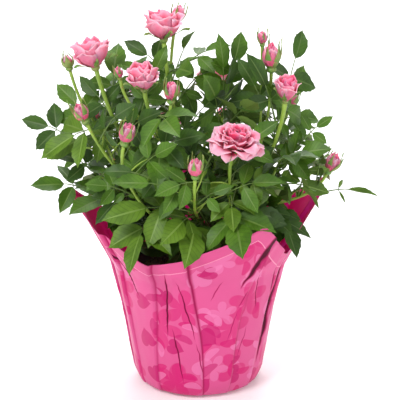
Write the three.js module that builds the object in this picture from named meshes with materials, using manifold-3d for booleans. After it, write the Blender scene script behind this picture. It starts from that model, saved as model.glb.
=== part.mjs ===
// A miniature rose bush in its nursery pot, inside a pleated and flared film cover.
// Millimetres, +Z up. The origin is the middle of the flat underside.
import * as THREE from "three";
import { mergeVertices } from "three/addons/utils/BufferGeometryUtils.js";
import Module from "manifold-3d";

const wasm = await Module();
wasm.setup();

const GAP = 0.3; // between neighbouring solids
const DEGREE = Math.PI / 180;
const UP = new THREE.Vector3(0, 0, 1);

// ---------------------------------------------------------------- the film cover

const COVER = {
  wall: 1.2,
  // radius and height up the outside, from the flat underside to the kink where the flare starts
  profile: [
    [50, 0],
    [58, 3.8],
    [61.5, 13],
    [72, 77],
    [81.5, 120],
  ],
  pleatStep: [1.2, 3, 4.4], // how far a pleat stands proud at the foot, the kink and the rim
  pleatGap: 1.1, // degrees that the return of a pleat takes
  panelColumns: 4,
  flareStart: 0.6, // the kink, as a share of the climb from the foot to the rim
  insideRows: [120, 77, 13],
  floorRadius: 50,
};
// the sheet's rim: azimuth, height and radius of its corners, and of the dips between them
const RIM = [
  [-178, 191, 118],
  [-118, 141, 93],
  [-58, 182, 112],
  [-24, 136, 89],
  [14, 190, 124],
  [56, 142, 93],
  [97, 188, 120],
  [140, 140, 91],
];
const RIM_CURVE = 1.28; // above 1 the corners are pointed and the dips are round
// azimuth of each pleat at the foot and at the rim
const PLEATS = [
  [-176, -171],
  [-152, -148],
  [-128, -118],
  [-86, -98],
  [-62, -48],
  [-36, -34],
  [-8, -14],
  [16, 8],
  [38, 31],
  [60, 54],
  [82, 78],
  [104, 103],
  [126, 128],
  [150, 156],
];
const KINK = COVER.profile[COVER.profile.length - 1];

function mix(a, b, t) {
  return a + (b - a) * t;
}

// the rim's height at an azimuth, and how far the sheet leans out per millimetre of rise below it
function rimAt(azimuth) {
  const turnTo = (from, to) => (((to - from) % 360) + 360) % 360;
  const i = RIM.findIndex(([from], k) => {
    const [to] = RIM[(k + 1) % RIM.length];
    return turnTo(from, azimuth) <= turnTo(from, to);
  });
  const [start, end] = [RIM[i], RIM[(i + 1) % RIM.length]];
  const u = turnTo(start[0], azimuth) / turnTo(start[0], end[0]);
  const [dip, corner, towardsCorner] = start[1] < end[1] ? [start, end, u] : [end, start, 1 - u];
  const rise = towardsCorner ** RIM_CURVE;
  const lean = ([, height, radius]) => (radius - KINK[0]) / (height - KINK[1]);
  return { height: mix(dip[1], corner[1], rise), lean: mix(lean(dip), lean(corner), rise) };
}

// the cover's plain outer radius at a height, without its pleats
function coverRadius(azimuth, height) {
  if (height > KINK[1]) {
    return KINK[0] + rimAt(azimuth).lean * (height - KINK[1]);
  }
  const rows = COVER.profile;
  const i = rows.findIndex(([, top], k) => k > 0 && top >= height);
  const t = (height - rows[i - 1][1]) / (rows[i][1] - rows[i - 1][1]);
  return mix(rows[i - 1][0], rows[i][0], t);
}

function pleatStep(height, rim) {
  const [foot, kink, top] = COVER.pleatStep;
  if (height < KINK[1]) {
    return mix(foot, kink, height / KINK[1]);
  }
  return mix(kink, top, (height - KINK[1]) / (rim - KINK[1]));
}

// a point of the sheet: panel and place across it, share of the way up, and depth in the sheet
function coverPoint(panel, across, climb, inset) {
  const pleat = PLEATS[panel];
  const next = PLEATS[(panel + 1) % PLEATS.length];
  const azimuthAt = (share) => {
    const from = mix(pleat[0], pleat[1], share) + COVER.pleatGap;
    const to = mix(next[0], next[1], share);
    return from + across * ((((to - from) % 360) + 360) % 360);
  };
  const rim = rimAt(azimuthAt(1)).height;
  const { flareStart } = COVER;
  const height =
    climb < flareStart
      ? (climb / flareStart) * KINK[1]
      : mix(KINK[1], rim, (climb - flareStart) / (1 - flareStart));
  const azimuth = azimuthAt(climb);
  const radius = coverRadius(azimuth, height) + pleatStep(height, rim) * (across - 0.5) - inset;
  return [radius * Math.cos(azimuth * DEGREE), radius * Math.sin(azimuth * DEGREE), height];
}

function filmCover() {
  const climbOf = (height) => (COVER.flareStart * height) / KINK[1];
  const outside = [...COVER.profile.map(([, height]) => climbOf(height)), 1];
  const inside = [1, ...COVER.insideRows.map(climbOf)];
  const rows = [
    ...outside.map((climb) => ({ climb, inset: 0 })),
    ...inside.map((climb) => ({ climb, inset: COVER.wall })),
  ];
  // the lathe starts and ends on the axis, and each of its vertices then moves to its place
  const count = rows.length + 3;
  const profile = Array.from({ length: count }, (_, j) => new THREE.Vector2(1, j));
  const columns = PLEATS.length * COVER.panelColumns;
  const geometry = new THREE.LatheGeometry(profile, columns);
  const place = geometry.attributes.position;
  for (let i = 0; i <= columns; i += 1) {
    const column = i % columns;
    const panel = Math.floor(column / COVER.panelColumns);
    const across = (column % COVER.panelColumns) / (COVER.panelColumns - 1);
    for (let j = 0; j < count; j += 1) {
      let point = [0, 0, 0];
      if (j > 0 && j <= rows.length) {
        const row = rows[j - 1];
        point = coverPoint(panel, across, row.climb, row.inset);
      } else if (j === rows.length + 1) {
        const [x, y] = coverPoint(panel, across, 0, 0);
        const size = COVER.floorRadius / Math.hypot(x, y);
        point = [x * size, y * size, COVER.wall];
      } else if (j === rows.length + 2) {
        point = [0, 0, COVER.wall];
      }
      place.setXYZ(i * count + j, ...point);
    }
  }
  return geometry;
}

// ---------------------------------------------------------------- the nursery pot and its soil

const SOIL_TOP = 103;
const POT = {
  underside: 1.5,
  wall: 1.6,
  sides: 20,
  base: { radius: 44, bevel: [50.5, 5], foot: [53, 14] },
  neck: [71.6, 101],
  rim: { from: [74.2, 102.5], to: [75.2, 113], thickness: 2.4, top: 114 },
};

function lathe(profile, sides) {
  const geometry = new THREE.LatheGeometry(
    profile.map(([radius, height]) => new THREE.Vector2(radius, height)),
    sides,
  );
  geometry.rotateX(Math.PI / 2);
  return geometry;
}

function nurseryPot() {
  const { underside, wall, base, neck, rim } = POT;
  const outside = [[base.radius, underside], base.bevel, base.foot, neck, rim.from, rim.to];
  const mouth = rim.to[0] - rim.thickness;
  const inside = [
    [mouth, rim.top],
    [mouth, rim.from[1] + rim.thickness],
    [neck[0] - wall, neck[1]],
    [base.foot[0] - wall, base.foot[1]],
    [base.bevel[0] - wall, underside + wall],
  ];
  return lathe([[0, underside], ...outside, ...inside, [0, underside + wall]], POT.sides);
}

function soil() {
  const { underside, wall, base, neck } = POT;
  const clear = wall + GAP + 0.2;
  const shoulder = [neck[0] - clear, SOIL_TOP - 2];
  return lathe(
    [
      [0, underside + clear],
      [base.bevel[0] - clear, underside + clear],
      [base.foot[0] - clear, base.foot[1]],
      shoulder,
      [shoulder[0] - 1.5, SOIL_TOP],
      [0, SOIL_TOP],
    ],
    POT.sides,
  );
}

// ---------------------------------------------------------------- solids

// a closed geometry as a manifold solid, its shared vertices merged
function solidOf(geometry) {
  const bare = geometry.clone();
  bare.deleteAttribute("normal");
  bare.deleteAttribute("uv");
  const merged = mergeVertices(bare, 1e-4);
  const kept = [];
  const index = merged.index.array;
  for (let i = 0; i < index.length; i += 3) {
    const [a, b, c] = [index[i], index[i + 1], index[i + 2]];
    if (a !== b && b !== c && c !== a) {
      kept.push(a, b, c);
    }
  }
  return new wasm.Manifold(
    new wasm.Mesh({
      numProp: 3,
      vertProperties: new Float32Array(merged.attributes.position.array),
      triVerts: new Uint32Array(kept),
    }),
  );
}

function geometryOf(solid) {
  const mesh = solid.getMesh();
  const geometry = new THREE.BufferGeometry();
  geometry.setAttribute("position", new THREE.BufferAttribute(mesh.vertProperties, 3));
  geometry.setIndex(new THREE.BufferAttribute(mesh.triVerts, 1));
  geometry.computeVertexNormals();
  return geometry;
}

// the main body of a solid, without loose scrap and with its sealed hollows filled
function mainBody(solid) {
  const bodies = solid.decompose();
  bodies.sort((a, b) => b.volume() - a.volume());
  return bodies[0];
}

function vector([x, y, z]) {
  return new THREE.Vector3(x, y, z);
}

const ASLANT = new THREE.Vector3(0.31, 0.95, 0.02); // a direction that no straight rod runs in

// the direction square to an arch's plane, and the one square to that and to its run, at a place
function across(arch, t) {
  const run = arch.getTangent(t);
  const bend = arch.v1.clone().sub(arch.v0).cross(arch.v2.clone().sub(arch.v1));
  const side = bend.length() > 1e-3 ? bend : ASLANT.clone().cross(run);
  side.addScaledVector(run, -side.dot(run)).normalize();
  return [side, side.clone().cross(run).normalize()];
}

// a tapering rod with flat ends along an arch
function rod({ arch, radii, sides, steps, flare = 0 }, grow = 0) {
  const geometry = new THREE.CylinderGeometry(1, 1, 1, sides, steps);
  const place = geometry.attributes.position;
  for (let i = 0; i < place.count; i += 1) {
    const t = Math.round((place.getY(i) + 0.5) * steps) / steps;
    const [side, rise] = across(arch, t);
    const radius = mix(radii[0], radii[1], t) + flare * Math.exp(-FLARE_FADE * t) + grow;
    const point = arch.getPoint(t);
    point.addScaledVector(side, radius * place.getX(i));
    point.addScaledVector(rise, radius * place.getZ(i));
    place.setXYZ(i, point.x, point.y, point.z);
  }
  return solidOf(geometry);
}

// ---------------------------------------------------------------- canes, boughs and shoots

// each cane rises from a flat cut at the soil: its foot, its tip and its radii
const CANES = {
  cane_left: { foot: [-17, -5], tip: [-35, -9, 178], radii: [3.3, 2.1] },
  cane_front: { foot: [2, -19], tip: [0, -38, 170], radii: [3.1, 2] },
  cane_right: { foot: [18, -3], tip: [39, -6, 180], radii: [3.4, 2.1] },
  cane_back: { foot: [-2, 17], tip: [-5, 37, 182], radii: [3.5, 2.2] },
  cane_centre: { foot: [1, 0], tip: [-4, -2, 205], radii: [3.8, 2.2] },
};
const CANE_FLARE = 1.5; // more radius at the foot
const FLARE_FADE = 12; // how fast that is lost up the cane
// each bough leaves a cane part of the way up and ends where its mass begins
const BOUGHS = {
  left_mid: { cane: "cane_left", from: 0.72, tip: [-62, -24, 198] },
  left_low: { cane: "cane_left", from: 0.5, tip: [-64, 0, 170] },
  front_left: { cane: "cane_front", from: 0.6, tip: [-36, -54, 174] },
  front_right: { cane: "cane_front", from: 0.75, tip: [30, -54, 184] },
  right_mid: { cane: "cane_right", from: 0.75, tip: [66, -20, 200] },
  right_low: { cane: "cane_right", from: 0.5, tip: [66, 4, 170] },
  back_left: { cane: "cane_back", from: 0.75, tip: [-42, 44, 192] },
  back_right: { cane: "cane_back", from: 0.62, tip: [36, 46, 188] },
  back_low_left: { cane: "cane_back", from: 0.45, tip: [-36, 62, 164] },
  back_low_right: { cane: "cane_back", from: 0.35, tip: [30, 66, 162] },
  crown_left: { cane: "cane_centre", from: 0.86, tip: [-26, -24, 230] },
  crown_right: { cane: "cane_centre", from: 0.72, tip: [19, -5, 230] },
};
const BOUGH_RADII = [1.9, 1.4];

// Each mass stands on a cane or a bough, and its first shoot is its stem. A flower shoot has its head,
// the head's middle, its lean in x and y, its size and the shoot's leaves. A leafy shoot has the tip of
// its last leaf and its other leaves. A single leaf has its tip, the place where it leaves the stem,
// as a share of the stem's length, and its leaflets.
const MASSES = {
  crown: {
    on: "cane_centre",
    shoots: [
      ["bloom", [-31, -10, 342], [-0.05, 0.05], 37, 4],
      ["bud", [-18, 12, 348], [0.25, 0.1], 19, 2],
      ["leaf", [-65, -5, 328], 0.72, 3],
      ["leaf", [-69, -15, 309], 0.58, 5],
      ["leaf", [-4, 15, 334], 0.62, 5],
    ],
  },
  crown_left: {
    on: "crown_left",
    shoots: [
      ["bloom", [-48, -50, 304], [-0.1, -0.12], 32, 2],
      ["bud", [-70, -35, 305], [-0.2, 0], 12, 2],
      ["bud", [-23, -60, 294], [0.05, -0.1], 21, 2],
    ],
  },
  crown_right: {
    on: "crown_right",
    shoots: [
      ["leafy", [40, 12, 331], 3],
      ["leaf", [22, 2, 328], 0.6, 3],
      ["leaf", [12, -60, 304], 0.15, 3],
      ["leaf", [32, -15, 313], 0.4, 3],
      ["leaf", [52, -55, 284], 0.1, 5],
    ],
  },
  left_tall: {
    on: "cane_left",
    shoots: [
      ["bloom", [-94, -25, 320], [-0.25, 0.05], 38, 3],
      ["bud", [-118, 0, 308], [-0.25, 0.05], 18, 3],
      ["leaf", [-74, 10, 324], 0.66, 3],
      ["leaf", [-107, 0, 292], 0.6, 3],
      ["leaf", [-73, -50, 259], 0.5, 3],
    ],
  },
  left_mid: {
    on: "left_mid",
    shoots: [
      ["bud", [-103, -45, 271], [-0.45, -0.1], 21, 2],
      ["leafy", [-160, -5, 255], 2],
      ["leafy", [-128, 12, 282], 1],
      ["leaf", [-100, -50, 204], 0.25, 3],
    ],
  },
  left_low: {
    on: "left_low",
    shoots: [
      ["leafy", [-150, -30, 200], 3],
      ["leafy", [-129, -20, 230], 2],
      ["leafy", [-128, 45, 215], 2],
      ["leaf", [-112, -55, 186], 0.1, 3],
    ],
  },
  front_left: {
    on: "front_left",
    shoots: [
      ["bud", [-62, -75, 260], [0.25, -0.1], 22, 3],
      ["leaf", [-62, -112, 150], 0.06, 3],
      ["leaf", [-98, -72, 214], 0.3, 5],
    ],
  },
  front_mid: {
    on: "cane_front",
    shoots: [
      ["bud", [-2, -95, 235], [0.05, -0.15], 20, 3],
      ["leaf", [-80, -95, 191], 0.3, 3],
      ["leaf", [-54, -75, 212], 0.55, 3],
      ["leaf", [-7, -114, 160], 0.05, 3],
      ["leaf", [-26, -112, 178], 0.14, 3],
      ["leaf", [29, -84, 216], 0.5, 3],
    ],
  },
  front_right: {
    on: "front_right",
    shoots: [
      ["rosette", [34, -85, 257], [0.25, -0.45], 50, 3],
      ["leaf", [31, -102, 182], 0.25, 3],
      ["leaf", [38, -119, 164], 0.05, 3],
      ["leaf", [74, -82, 214], 0.4, 5],
    ],
  },
  right_tall: {
    on: "cane_right",
    shoots: [
      ["half", [79, -32, 289], [0.1, -0.1], 25, 3],
      ["bud", [66, -10, 313], [0, 0.05], 26, 1],
      ["bud", [59, 25, 323], [0, 0.1], 14, 1],
      ["leaf", [49, -12, 326], 0.7, 3],
      ["leaf", [98, 28, 331], 0.7, 3],
      ["leaf", [38, -4, 312], 0.6, 5],
      ["leaf", [100, 6, 293], 0.55, 3],
    ],
  },
  right_mid: {
    on: "right_mid",
    shoots: [
      ["leafy", [122, -10, 259], 2],
      ["leaf", [105, -32, 228], 0.2, 3],
      ["leaf", [114, -44, 240], 0.3, 3],
    ],
  },
  right_low: {
    on: "right_low",
    shoots: [
      ["bud", [124, 5, 210], [0.45, 0], 22, 2],
      ["leafy", [168, 5, 180], 0],
      ["leaf", [91, -32, 133], 0.05, 5],
      ["leafy", [125, 45, 215], 2],
    ],
  },
  back_left: {
    on: "back_left",
    shoots: [
      ["bloom", [-52, 62, 268], [-0.2, 0.4], 34, 3],
      ["bud", [-98, 50, 246], [-0.4, 0.3], 20, 2],
      ["leafy", [-115, 70, 232], 1],
    ],
  },
  back_mid: {
    on: "cane_back",
    shoots: [
      ["bloom", [16, 70, 270], [0.1, 0.45], 38, 3],
      ["leafy", [-18, 100, 255], 2],
    ],
  },
  back_right: {
    on: "back_right",
    shoots: [
      ["bud", [88, 52, 258], [0.3, 0.3], 22, 3],
      ["bud", [55, 85, 250], [0.1, 0.4], 20, 2],
      ["leafy", [112, 72, 228], 1],
    ],
  },
  back_low_left: {
    on: "back_low_left",
    shoots: [
      ["rosette", [-36, 104, 222], [-0.3, 0.8], 42, 2],
      ["leafy", [-84, 96, 190], 2],
      ["leaf", [-34, 122, 170], 0.1, 5],
    ],
  },
  back_low_right: {
    on: "back_low_right",
    shoots: [
      ["bud", [24, 110, 226], [0.1, 0.4], 21, 2],
      ["leafy", [82, 100, 188], 2],
      ["leaf", [42, 122, 172], 0.1, 5],
    ],
  },
};

// profiles of the flower heads, radius and height, as shares of the size
const HEADS = {
  bud: {
    sides: 6,
    middle: 0.5,
    profile: [
      [0, 0],
      [0.12, 0.06],
      [0.13, 0.22],
      [0.3, 0.46],
      [0.21, 0.78],
      [0, 1],
    ],
  },
  half: {
    sides: 8,
    middle: 0.5,
    profile: [
      [0, 0],
      [0.12, 0.04],
      [0.12, 0.15],
      [0.42, 0.36],
      [0.48, 0.64],
      [0.38, 0.86],
      [0, 0.9],
    ],
  },
  bloom: {
    sides: 9,
    middle: 0.4,
    profile: [
      [0, 0],
      [0.09, 0.03],
      [0.09, 0.12],
      [0.34, 0.22],
      [0.47, 0.42],
      [0.5, 0.6],
      [0.3, 0.72],
      [0, 0.72],
    ],
  },
  rosette: {
    sides: 10,
    middle: 0.26,
    profile: [
      [0, 0],
      [0.08, 0.02],
      [0.08, 0.09],
      [0.42, 0.18],
      [0.5, 0.28],
      [0.42, 0.4],
      [0.2, 0.48],
      [0, 0.46],
    ],
  },
};

const SHOOT = {
  radii: [1.4, 0.95],
  rise: 0.14, // how far a leafy shoot arches up, as a share of its length
  lead: 0.42, // how far below its head a flower shoot already points along the head's lean
  forkFrom: 0.1, // where the second shoot leaves the first, and how much further each later one does
  forkStep: 0.13,
  sway: [0, 5, -5, 10, -10, 15, -15], // sideways shifts tried until a shoot is clear of the others
};
const LEAF = {
  span: [64, 82], // from the stem to the tip of the last leaflet
  turn: 144, // degrees from one leaf to the next round the shoot
  from: 0.16,
  to: 0.92,
  toBelowHead: 0.78,
  outward: 0.6, // how much a leaf turns away from the middle of the bush
  lift: 0.22,
  droop: 0.14,
  arch: 0.17,
  face: { outward: 0.45, front: 0.6, up: 0.55, unrest: 0.9 }, // which way the blades face
  threeShare: 0.36, // share of the leaves with three leaflets, where the others have five
  tries: 6,
  // how far the tip of a named leaf moves in y and z until it is clear, and a leaflet count to try
  shifts: [[0, 0], [0, 0, 3], [-7, 3], [7, -3], [-12, -6, 3], [12, 6, 3], [-5, 10, 3], [5, -10, 3]],
};
const LEAFLET = {
  longest: 40,
  lastOfThree: 0.56, // the end leaflet, as a share of the leaf's span
  lastOfFive: 0.46,
  pairs: { 3: [[0.72, 0.82]], 5: [[0.42, 0.64], [0.82, 0.86]] }, // place on the stalk, and size
  angle: 62,
  width: 0.64,
  widest: 0.43,
  thickness: 0.027,
  hang: 0.06,
};
const STALK = { half: 0.8, room: 1 }; // half its width, and the room that other leaves leave it
const ROOT = { width: 0.3, height: 0.25 }; // half sizes of a leaflet's root inside its stalk
// the space that the bush fills, apart from the tips that are named above
const CROWN = { x: 2, y: 0, z: 232, width: 150, depth: 128, height: 104, backFall: 0.33, low: 128 };
const SEED = 7;

// a number from 0 to 1 that depends only on its keys
function chance(...keys) {
  let h = SEED;
  for (const key of keys) {
    h = Math.imul(h ^ (key + 0x9e3779b9), 0x85ebca6b);
    h ^= h >>> 13;
    h = Math.imul(h, 0xc2b2ae35);
    h ^= h >>> 16;
  }
  return (h >>> 0) / 4294967296;
}

function insideCrown(point) {
  const height = point.z + CROWN.backFall * Math.max(point.y, 0) - CROWN.z;
  const across = (point.x - CROWN.x) / CROWN.width;
  const along = (point.y - CROWN.y) / CROWN.depth;
  return across ** 2 + along ** 2 + (height / CROWN.height) ** 2 < 1 && point.z > CROWN.low;
}

function outwardOf(point) {
  return new THREE.Vector3(point.x, point.y, 0).normalize();
}

// the six corners of a leaflet: tip, base, two sides, top and underside
function bladeCorners({ base, ahead, normal, length }, grow = 0) {
  const side = normal.clone().cross(ahead);
  const at = (along, out, lift) =>
    base
      .clone()
      .addScaledVector(ahead, along)
      .addScaledVector(side, out)
      .addScaledVector(normal, lift);
  const widest = LEAFLET.widest * length;
  const half = (LEAFLET.width * length) / 2 + grow;
  const thick = (LEAFLET.thickness * length) / 2 + grow;
  return [
    at(length + grow, 0, -LEAFLET.hang * length),
    at(-grow, 0, 0),
    at(widest, half, 0),
    at(widest, -half, 0),
    at(widest, 0, thick),
    at(widest, 0, -thick),
  ];
}

const BLADE_EDGES = [
  [0, 2], [0, 3], [0, 4], [0, 5], [1, 2], [1, 3], [1, 4], [1, 5], [2, 4], [4, 3], [3, 5], [5, 2],
];
const BLADE_FACES = [
  [0, 2, 4], [0, 4, 3], [0, 3, 5], [0, 5, 2], [1, 4, 2], [1, 3, 4], [1, 5, 3], [1, 2, 5],
];

// true where the line from a to b goes through the triangle p, q, r
function pierces(a, b, p, q, r) {
  const run = b.clone().sub(a);
  const first = q.clone().sub(p);
  const second = r.clone().sub(p);
  const h = run.clone().cross(second);
  const det = first.dot(h);
  if (Math.abs(det) < 1e-12) {
    return false;
  }
  const s = a.clone().sub(p);
  const u = s.dot(h) / det;
  if (u < 0 || u > 1) {
    return false;
  }
  const k = s.cross(first);
  const w = run.dot(k) / det;
  const t = second.dot(k) / det;
  return w >= 0 && u + w <= 1 && t >= 0 && t <= 1;
}

function edgesPierce(corners, others) {
  return BLADE_EDGES.some(([i, j]) =>
    BLADE_FACES.some(([a, b, c]) =>
      pierces(corners[i], corners[j], others[a], others[b], others[c]),
    ),
  );
}

function distanceToLine(point, a, b) {
  const run = b.clone().sub(a);
  const t = Math.min(1, Math.max(0, point.clone().sub(a).dot(run) / run.lengthSq()));
  return point.distanceTo(a.clone().addScaledVector(run, t));
}

// true where a point lies in the egg round a flower head
function isInHead(point, { kind, size, axis, foot }, room) {
  const { profile } = HEADS[kind];
  const half = (profile.at(-1)[1] * size) / 2;
  const wide = size * Math.max(...profile.map(([radius]) => radius));
  const from = point.clone().sub(foot).addScaledVector(axis, -half);
  const along = from.dot(axis);
  const out = Math.sqrt(Math.max(0, from.lengthSq() - along ** 2));
  return (along / (half + room)) ** 2 + (out / (wide + room)) ** 2 < 1;
}

// 0 above the cover's rim or well inside it, 1 outside it and 2 in its wall
function coverSide(point) {
  const azimuth = Math.atan2(point.y, point.x) / DEGREE;
  const room = 2.5 + COVER.pleatStep[2] / 2;
  if (point.z > rimAt(azimuth).height + 2) {
    return 0;
  }
  const clear = Math.hypot(point.x, point.y) - coverRadius(azimuth, Math.max(point.z, 1));
  if (clear < -room) {
    return -1;
  }
  return clear > room - 1 ? 1 : 2;
}

function crossesCover(points) {
  const sides = new Set(points.map(coverSide));
  return sides.has(2) || (sides.has(-1) && sides.has(1));
}

// everything that a new shoot or leaf keeps clear of
const taken = { rods: [], heads: [], blades: [] };

function rodPoints(arch, count) {
  return Array.from({ length: count + 1 }, (_, i) => arch.getPoint(i / count));
}

// true where a run of points is clear of the rods, leaflets and heads that stand already
function lineIsClear(points, radius, freeStart) {
  const start = points[0];
  const free = points.filter((point) => point.distanceTo(start) > freeStart);
  for (const other of taken.rods) {
    const room = radius + other.radius + 1;
    for (let i = 1; i < other.points.length; i += 1) {
      const [a, b] = [other.points[i - 1], other.points[i]];
      if (free.some((point) => distanceToLine(point, a, b) < room)) {
        return false;
      }
    }
  }
  if (taken.heads.some((head) => points.some((point) => isInHead(point, head, radius + 1)))) {
    return false;
  }
  for (const blade of taken.blades) {
    if (start.distanceTo(blade.base) > 160) {
      continue;
    }
    const corners = bladeCorners(blade, radius + 0.5);
    for (let i = 1; i < points.length; i += 1) {
      const hit = BLADE_FACES.some(([a, b, c]) =>
        pierces(points[i - 1], points[i], corners[a], corners[b], corners[c]),
      );
      if (hit) {
        return false;
      }
    }
  }
  return !crossesCover(points);
}

function bladeIsClear(blade) {
  const corners = bladeCorners(blade, 0.5);
  const middle = blade.base.clone().addScaledVector(blade.ahead, blade.length / 2);
  const samples = [...corners.slice(0, 4), middle];
  samples.push(corners[0].clone().lerp(middle, 0.5), corners[1].clone().lerp(middle, 0.5));
  samples.push(corners[2].clone().lerp(corners[0], 0.5), corners[3].clone().lerp(corners[0], 0.5));
  if (crossesCover(samples)) {
    return false;
  }
  if (taken.heads.some((head) => samples.some((point) => isInHead(point, head, 1.5)))) {
    return false;
  }
  for (const other of taken.rods) {
    if (distanceToLine(middle, other.points[0], other.points.at(-1)) > blade.length + 60) {
      continue;
    }
    const grown = bladeCorners(blade, other.radius + 0.6);
    for (let i = 1; i < other.points.length; i += 1) {
      const hit = BLADE_FACES.some(([a, b, c]) =>
        pierces(other.points[i - 1], other.points[i], grown[a], grown[b], grown[c]),
      );
      if (hit) {
        return false;
      }
    }
  }
  return taken.blades.every((other) => {
    const theirs = other.base.clone().addScaledVector(other.ahead, other.length / 2);
    if (middle.distanceTo(theirs) > (blade.length + other.length) * 0.62) {
      return true;
    }
    const cornersOfOther = bladeCorners(other);
    return !edgesPierce(corners, cornersOfOther) && !edgesPierce(cornersOfOther, corners);
  });
}

// a compound leaf: a stalk that bends once at its knee, pairs of leaflets and one at the end
function compoundLeaf(start, tip, leaflets, keys) {
  const span = start.distanceTo(tip);
  const crest = start.clone().lerp(tip, 0.5).addScaledVector(UP, LEAF.arch * span);
  const whole = new THREE.QuadraticBezierCurve3(start, crest, tip);
  const lastShare = leaflets === 3 ? LEAFLET.lastOfThree : LEAFLET.lastOfFive;
  const stalkShare = 1 - Math.min(lastShare, LEAFLET.longest / span);
  const knee = whole.getPoint(stalkShare / 2);
  const joint = whole.getPoint(stalkShare);
  const ahead = tip.clone().sub(joint);
  const size = ahead.length();
  ahead.normalize();
  const { outward, front, up, unrest } = LEAF.face;
  const facing = outwardOf(joint).multiplyScalar(outward).addScaledVector(UP, up);
  facing.x += unrest * (chance(...keys, 11) - 0.5);
  facing.y += (joint.y > 15 ? front : -front) + unrest * (chance(...keys, 12) - 0.5);
  const normal = facing.addScaledVector(ahead, -facing.dot(ahead)).normalize();
  const end = { base: joint, ahead, normal, length: size };
  const pairs = LEAFLET.pairs[leaflets].map(([place, share], row) =>
    [-1, 1].map((hand) => {
      const [from, to, along] = place < 0.5 ? [start, knee, 2 * place] : [knee, joint, 2 * place - 1];
      const base = from.clone().lerp(to, along);
      const run = to.clone().sub(from).normalize();
      const side = normal.clone().cross(run).normalize();
      const turn = LEAFLET.angle * DEGREE + 0.25 * (chance(...keys, 13 + row * 2 + hand) - 0.5);
      const aim = run.multiplyScalar(Math.cos(turn)).addScaledVector(side, hand * Math.sin(turn));
      aim.z -= 0.12;
      aim.normalize();
      const face = normal.clone().addScaledVector(aim, -normal.dot(aim)).normalize();
      return { base, ahead: aim, normal: face, length: size * share };
    }),
  );
  return { stalk: [start, knee, joint], end, pairs };
}

// keeps a leaf where its stalk, its end leaflet and at least one of its pairs are clear
function placeLeaf(mass, start, tip, leaflets, keys) {
  const leaf = compoundLeaf(start, tip, leaflets, keys);
  const points = leaf.stalk.slice(0, 2).flatMap((from, i) =>
    [0, 0.33, 0.67].map((t) => from.clone().lerp(leaf.stalk[i + 1], t)),
  );
  points.push(leaf.stalk[2]);
  if (!lineIsClear(points, STALK.room, 12) || !bladeIsClear(leaf.end)) {
    return false;
  }
  leaf.pairs = leaf.pairs.filter((pair) => pair.every(bladeIsClear));
  if (leaf.pairs.length === 0) {
    return false;
  }
  taken.rods.push({ points, radius: STALK.room });
  taken.blades.push(leaf.end, ...leaf.pairs.flat());
  mass.leaves.push(leaf);
  return true;
}

// ---------------------------------------------------------------- growing the bush

function caneArch({ foot, tip }) {
  const start = vector([...foot, SOIL_TOP + GAP]);
  const end = vector(tip);
  const lead = 0.45 * (end.z - start.z);
  return new THREE.QuadraticBezierCurve3(start, start.clone().addScaledVector(UP, lead), end);
}

function boughArch({ cane, from, tip }) {
  const parent = caneArch(CANES[cane]);
  const start = parent.getPoint(from);
  const end = vector(tip);
  const reach = start.distanceTo(end);
  const crest = start.clone().lerp(end, 0.5);
  crest.addScaledVector(outwardOf(end), 0.12 * reach).addScaledVector(UP, -0.04 * reach);
  return new THREE.QuadraticBezierCurve3(start, crest, end);
}

function headOf(kind, place, lean, size) {
  const axis = new THREE.Vector3(lean[0], lean[1], 1).normalize();
  const foot = vector(place).addScaledVector(axis, -HEADS[kind].middle * size);
  return { kind, size, axis, foot };
}

// the arch of a shoot, shifted sideways until it is clear of what stands already
function shootArch(start, end, lead) {
  const run = end.clone().sub(start);
  const side = new THREE.Vector3(-run.y, run.x, 0).normalize();
  for (const sway of SHOOT.sway) {
    const bend = lead.clone().addScaledVector(side, sway);
    const arch = new THREE.QuadraticBezierCurve3(start, bend, end);
    const points = rodPoints(arch, 14);
    if (lineIsClear(points, SHOOT.radii[0], 14)) {
      return arch;
    }
  }
  return null;
}

function growShoots(name, number, limbs) {
  const { on, shoots } = MASSES[name];
  const limb = limbs[on];
  const mass = { name, number, limb, shoots: [], singles: [], leaves: [] };
  const foot = limb.arch.getPoint(1).addScaledVector(limb.arch.getTangent(1), GAP);
  shoots.forEach(([kind, ...row], i) => {
    const stem = mass.shoots[0];
    if (kind === "leaf") {
      const [tip, place, leaflets] = row;
      mass.singles.push({ start: stem.arch.getPoint(place), tip: vector(tip), leaflets, i });
      return;
    }
    const fork = SHOOT.forkFrom + SHOOT.forkStep * (i - 1 + 0.5 * chance(number, i, 1));
    const from = stem ? stem.arch.getPoint(fork) : foot;
    const shoot = { i, head: null, leaves: row.at(-1) };
    if (kind === "leafy") {
      const tip = vector(row[0]);
      const reach = from.distanceTo(tip);
      const span = Math.min(mix(...LEAF.span, chance(number, i, 2)), reach * 0.62);
      const end = tip.clone().lerp(from, span / reach).addScaledVector(UP, 0.1 * span);
      const lead = from.clone().lerp(end, 0.5).addScaledVector(UP, SHOOT.rise * reach);
      shoot.arch = shootArch(from, end, lead);
      const leaflets = chance(number, i, 3) < 0.5 ? 3 : 5;
      mass.singles.push({ start: end, tip, leaflets, i });
    } else {
      shoot.head = headOf(kind, ...row);
      const reach = from.distanceTo(shoot.head.foot);
      const lead = shoot.head.foot.clone();
      lead.addScaledVector(shoot.head.axis, -SHOOT.lead * reach);
      shoot.arch = shootArch(from, shoot.head.foot, lead);
      taken.heads.push(shoot.head);
    }
    if (!shoot.arch) {
      return;
    }
    const thin = stem ? 0.85 : 1;
    shoot.radii = SHOOT.radii.map((radius) => radius * thin);
    mass.shoots.push(shoot);
    taken.rods.push({ points: rodPoints(shoot.arch, 10), radius: shoot.radii[0] });
  });
  return mass;
}

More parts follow.
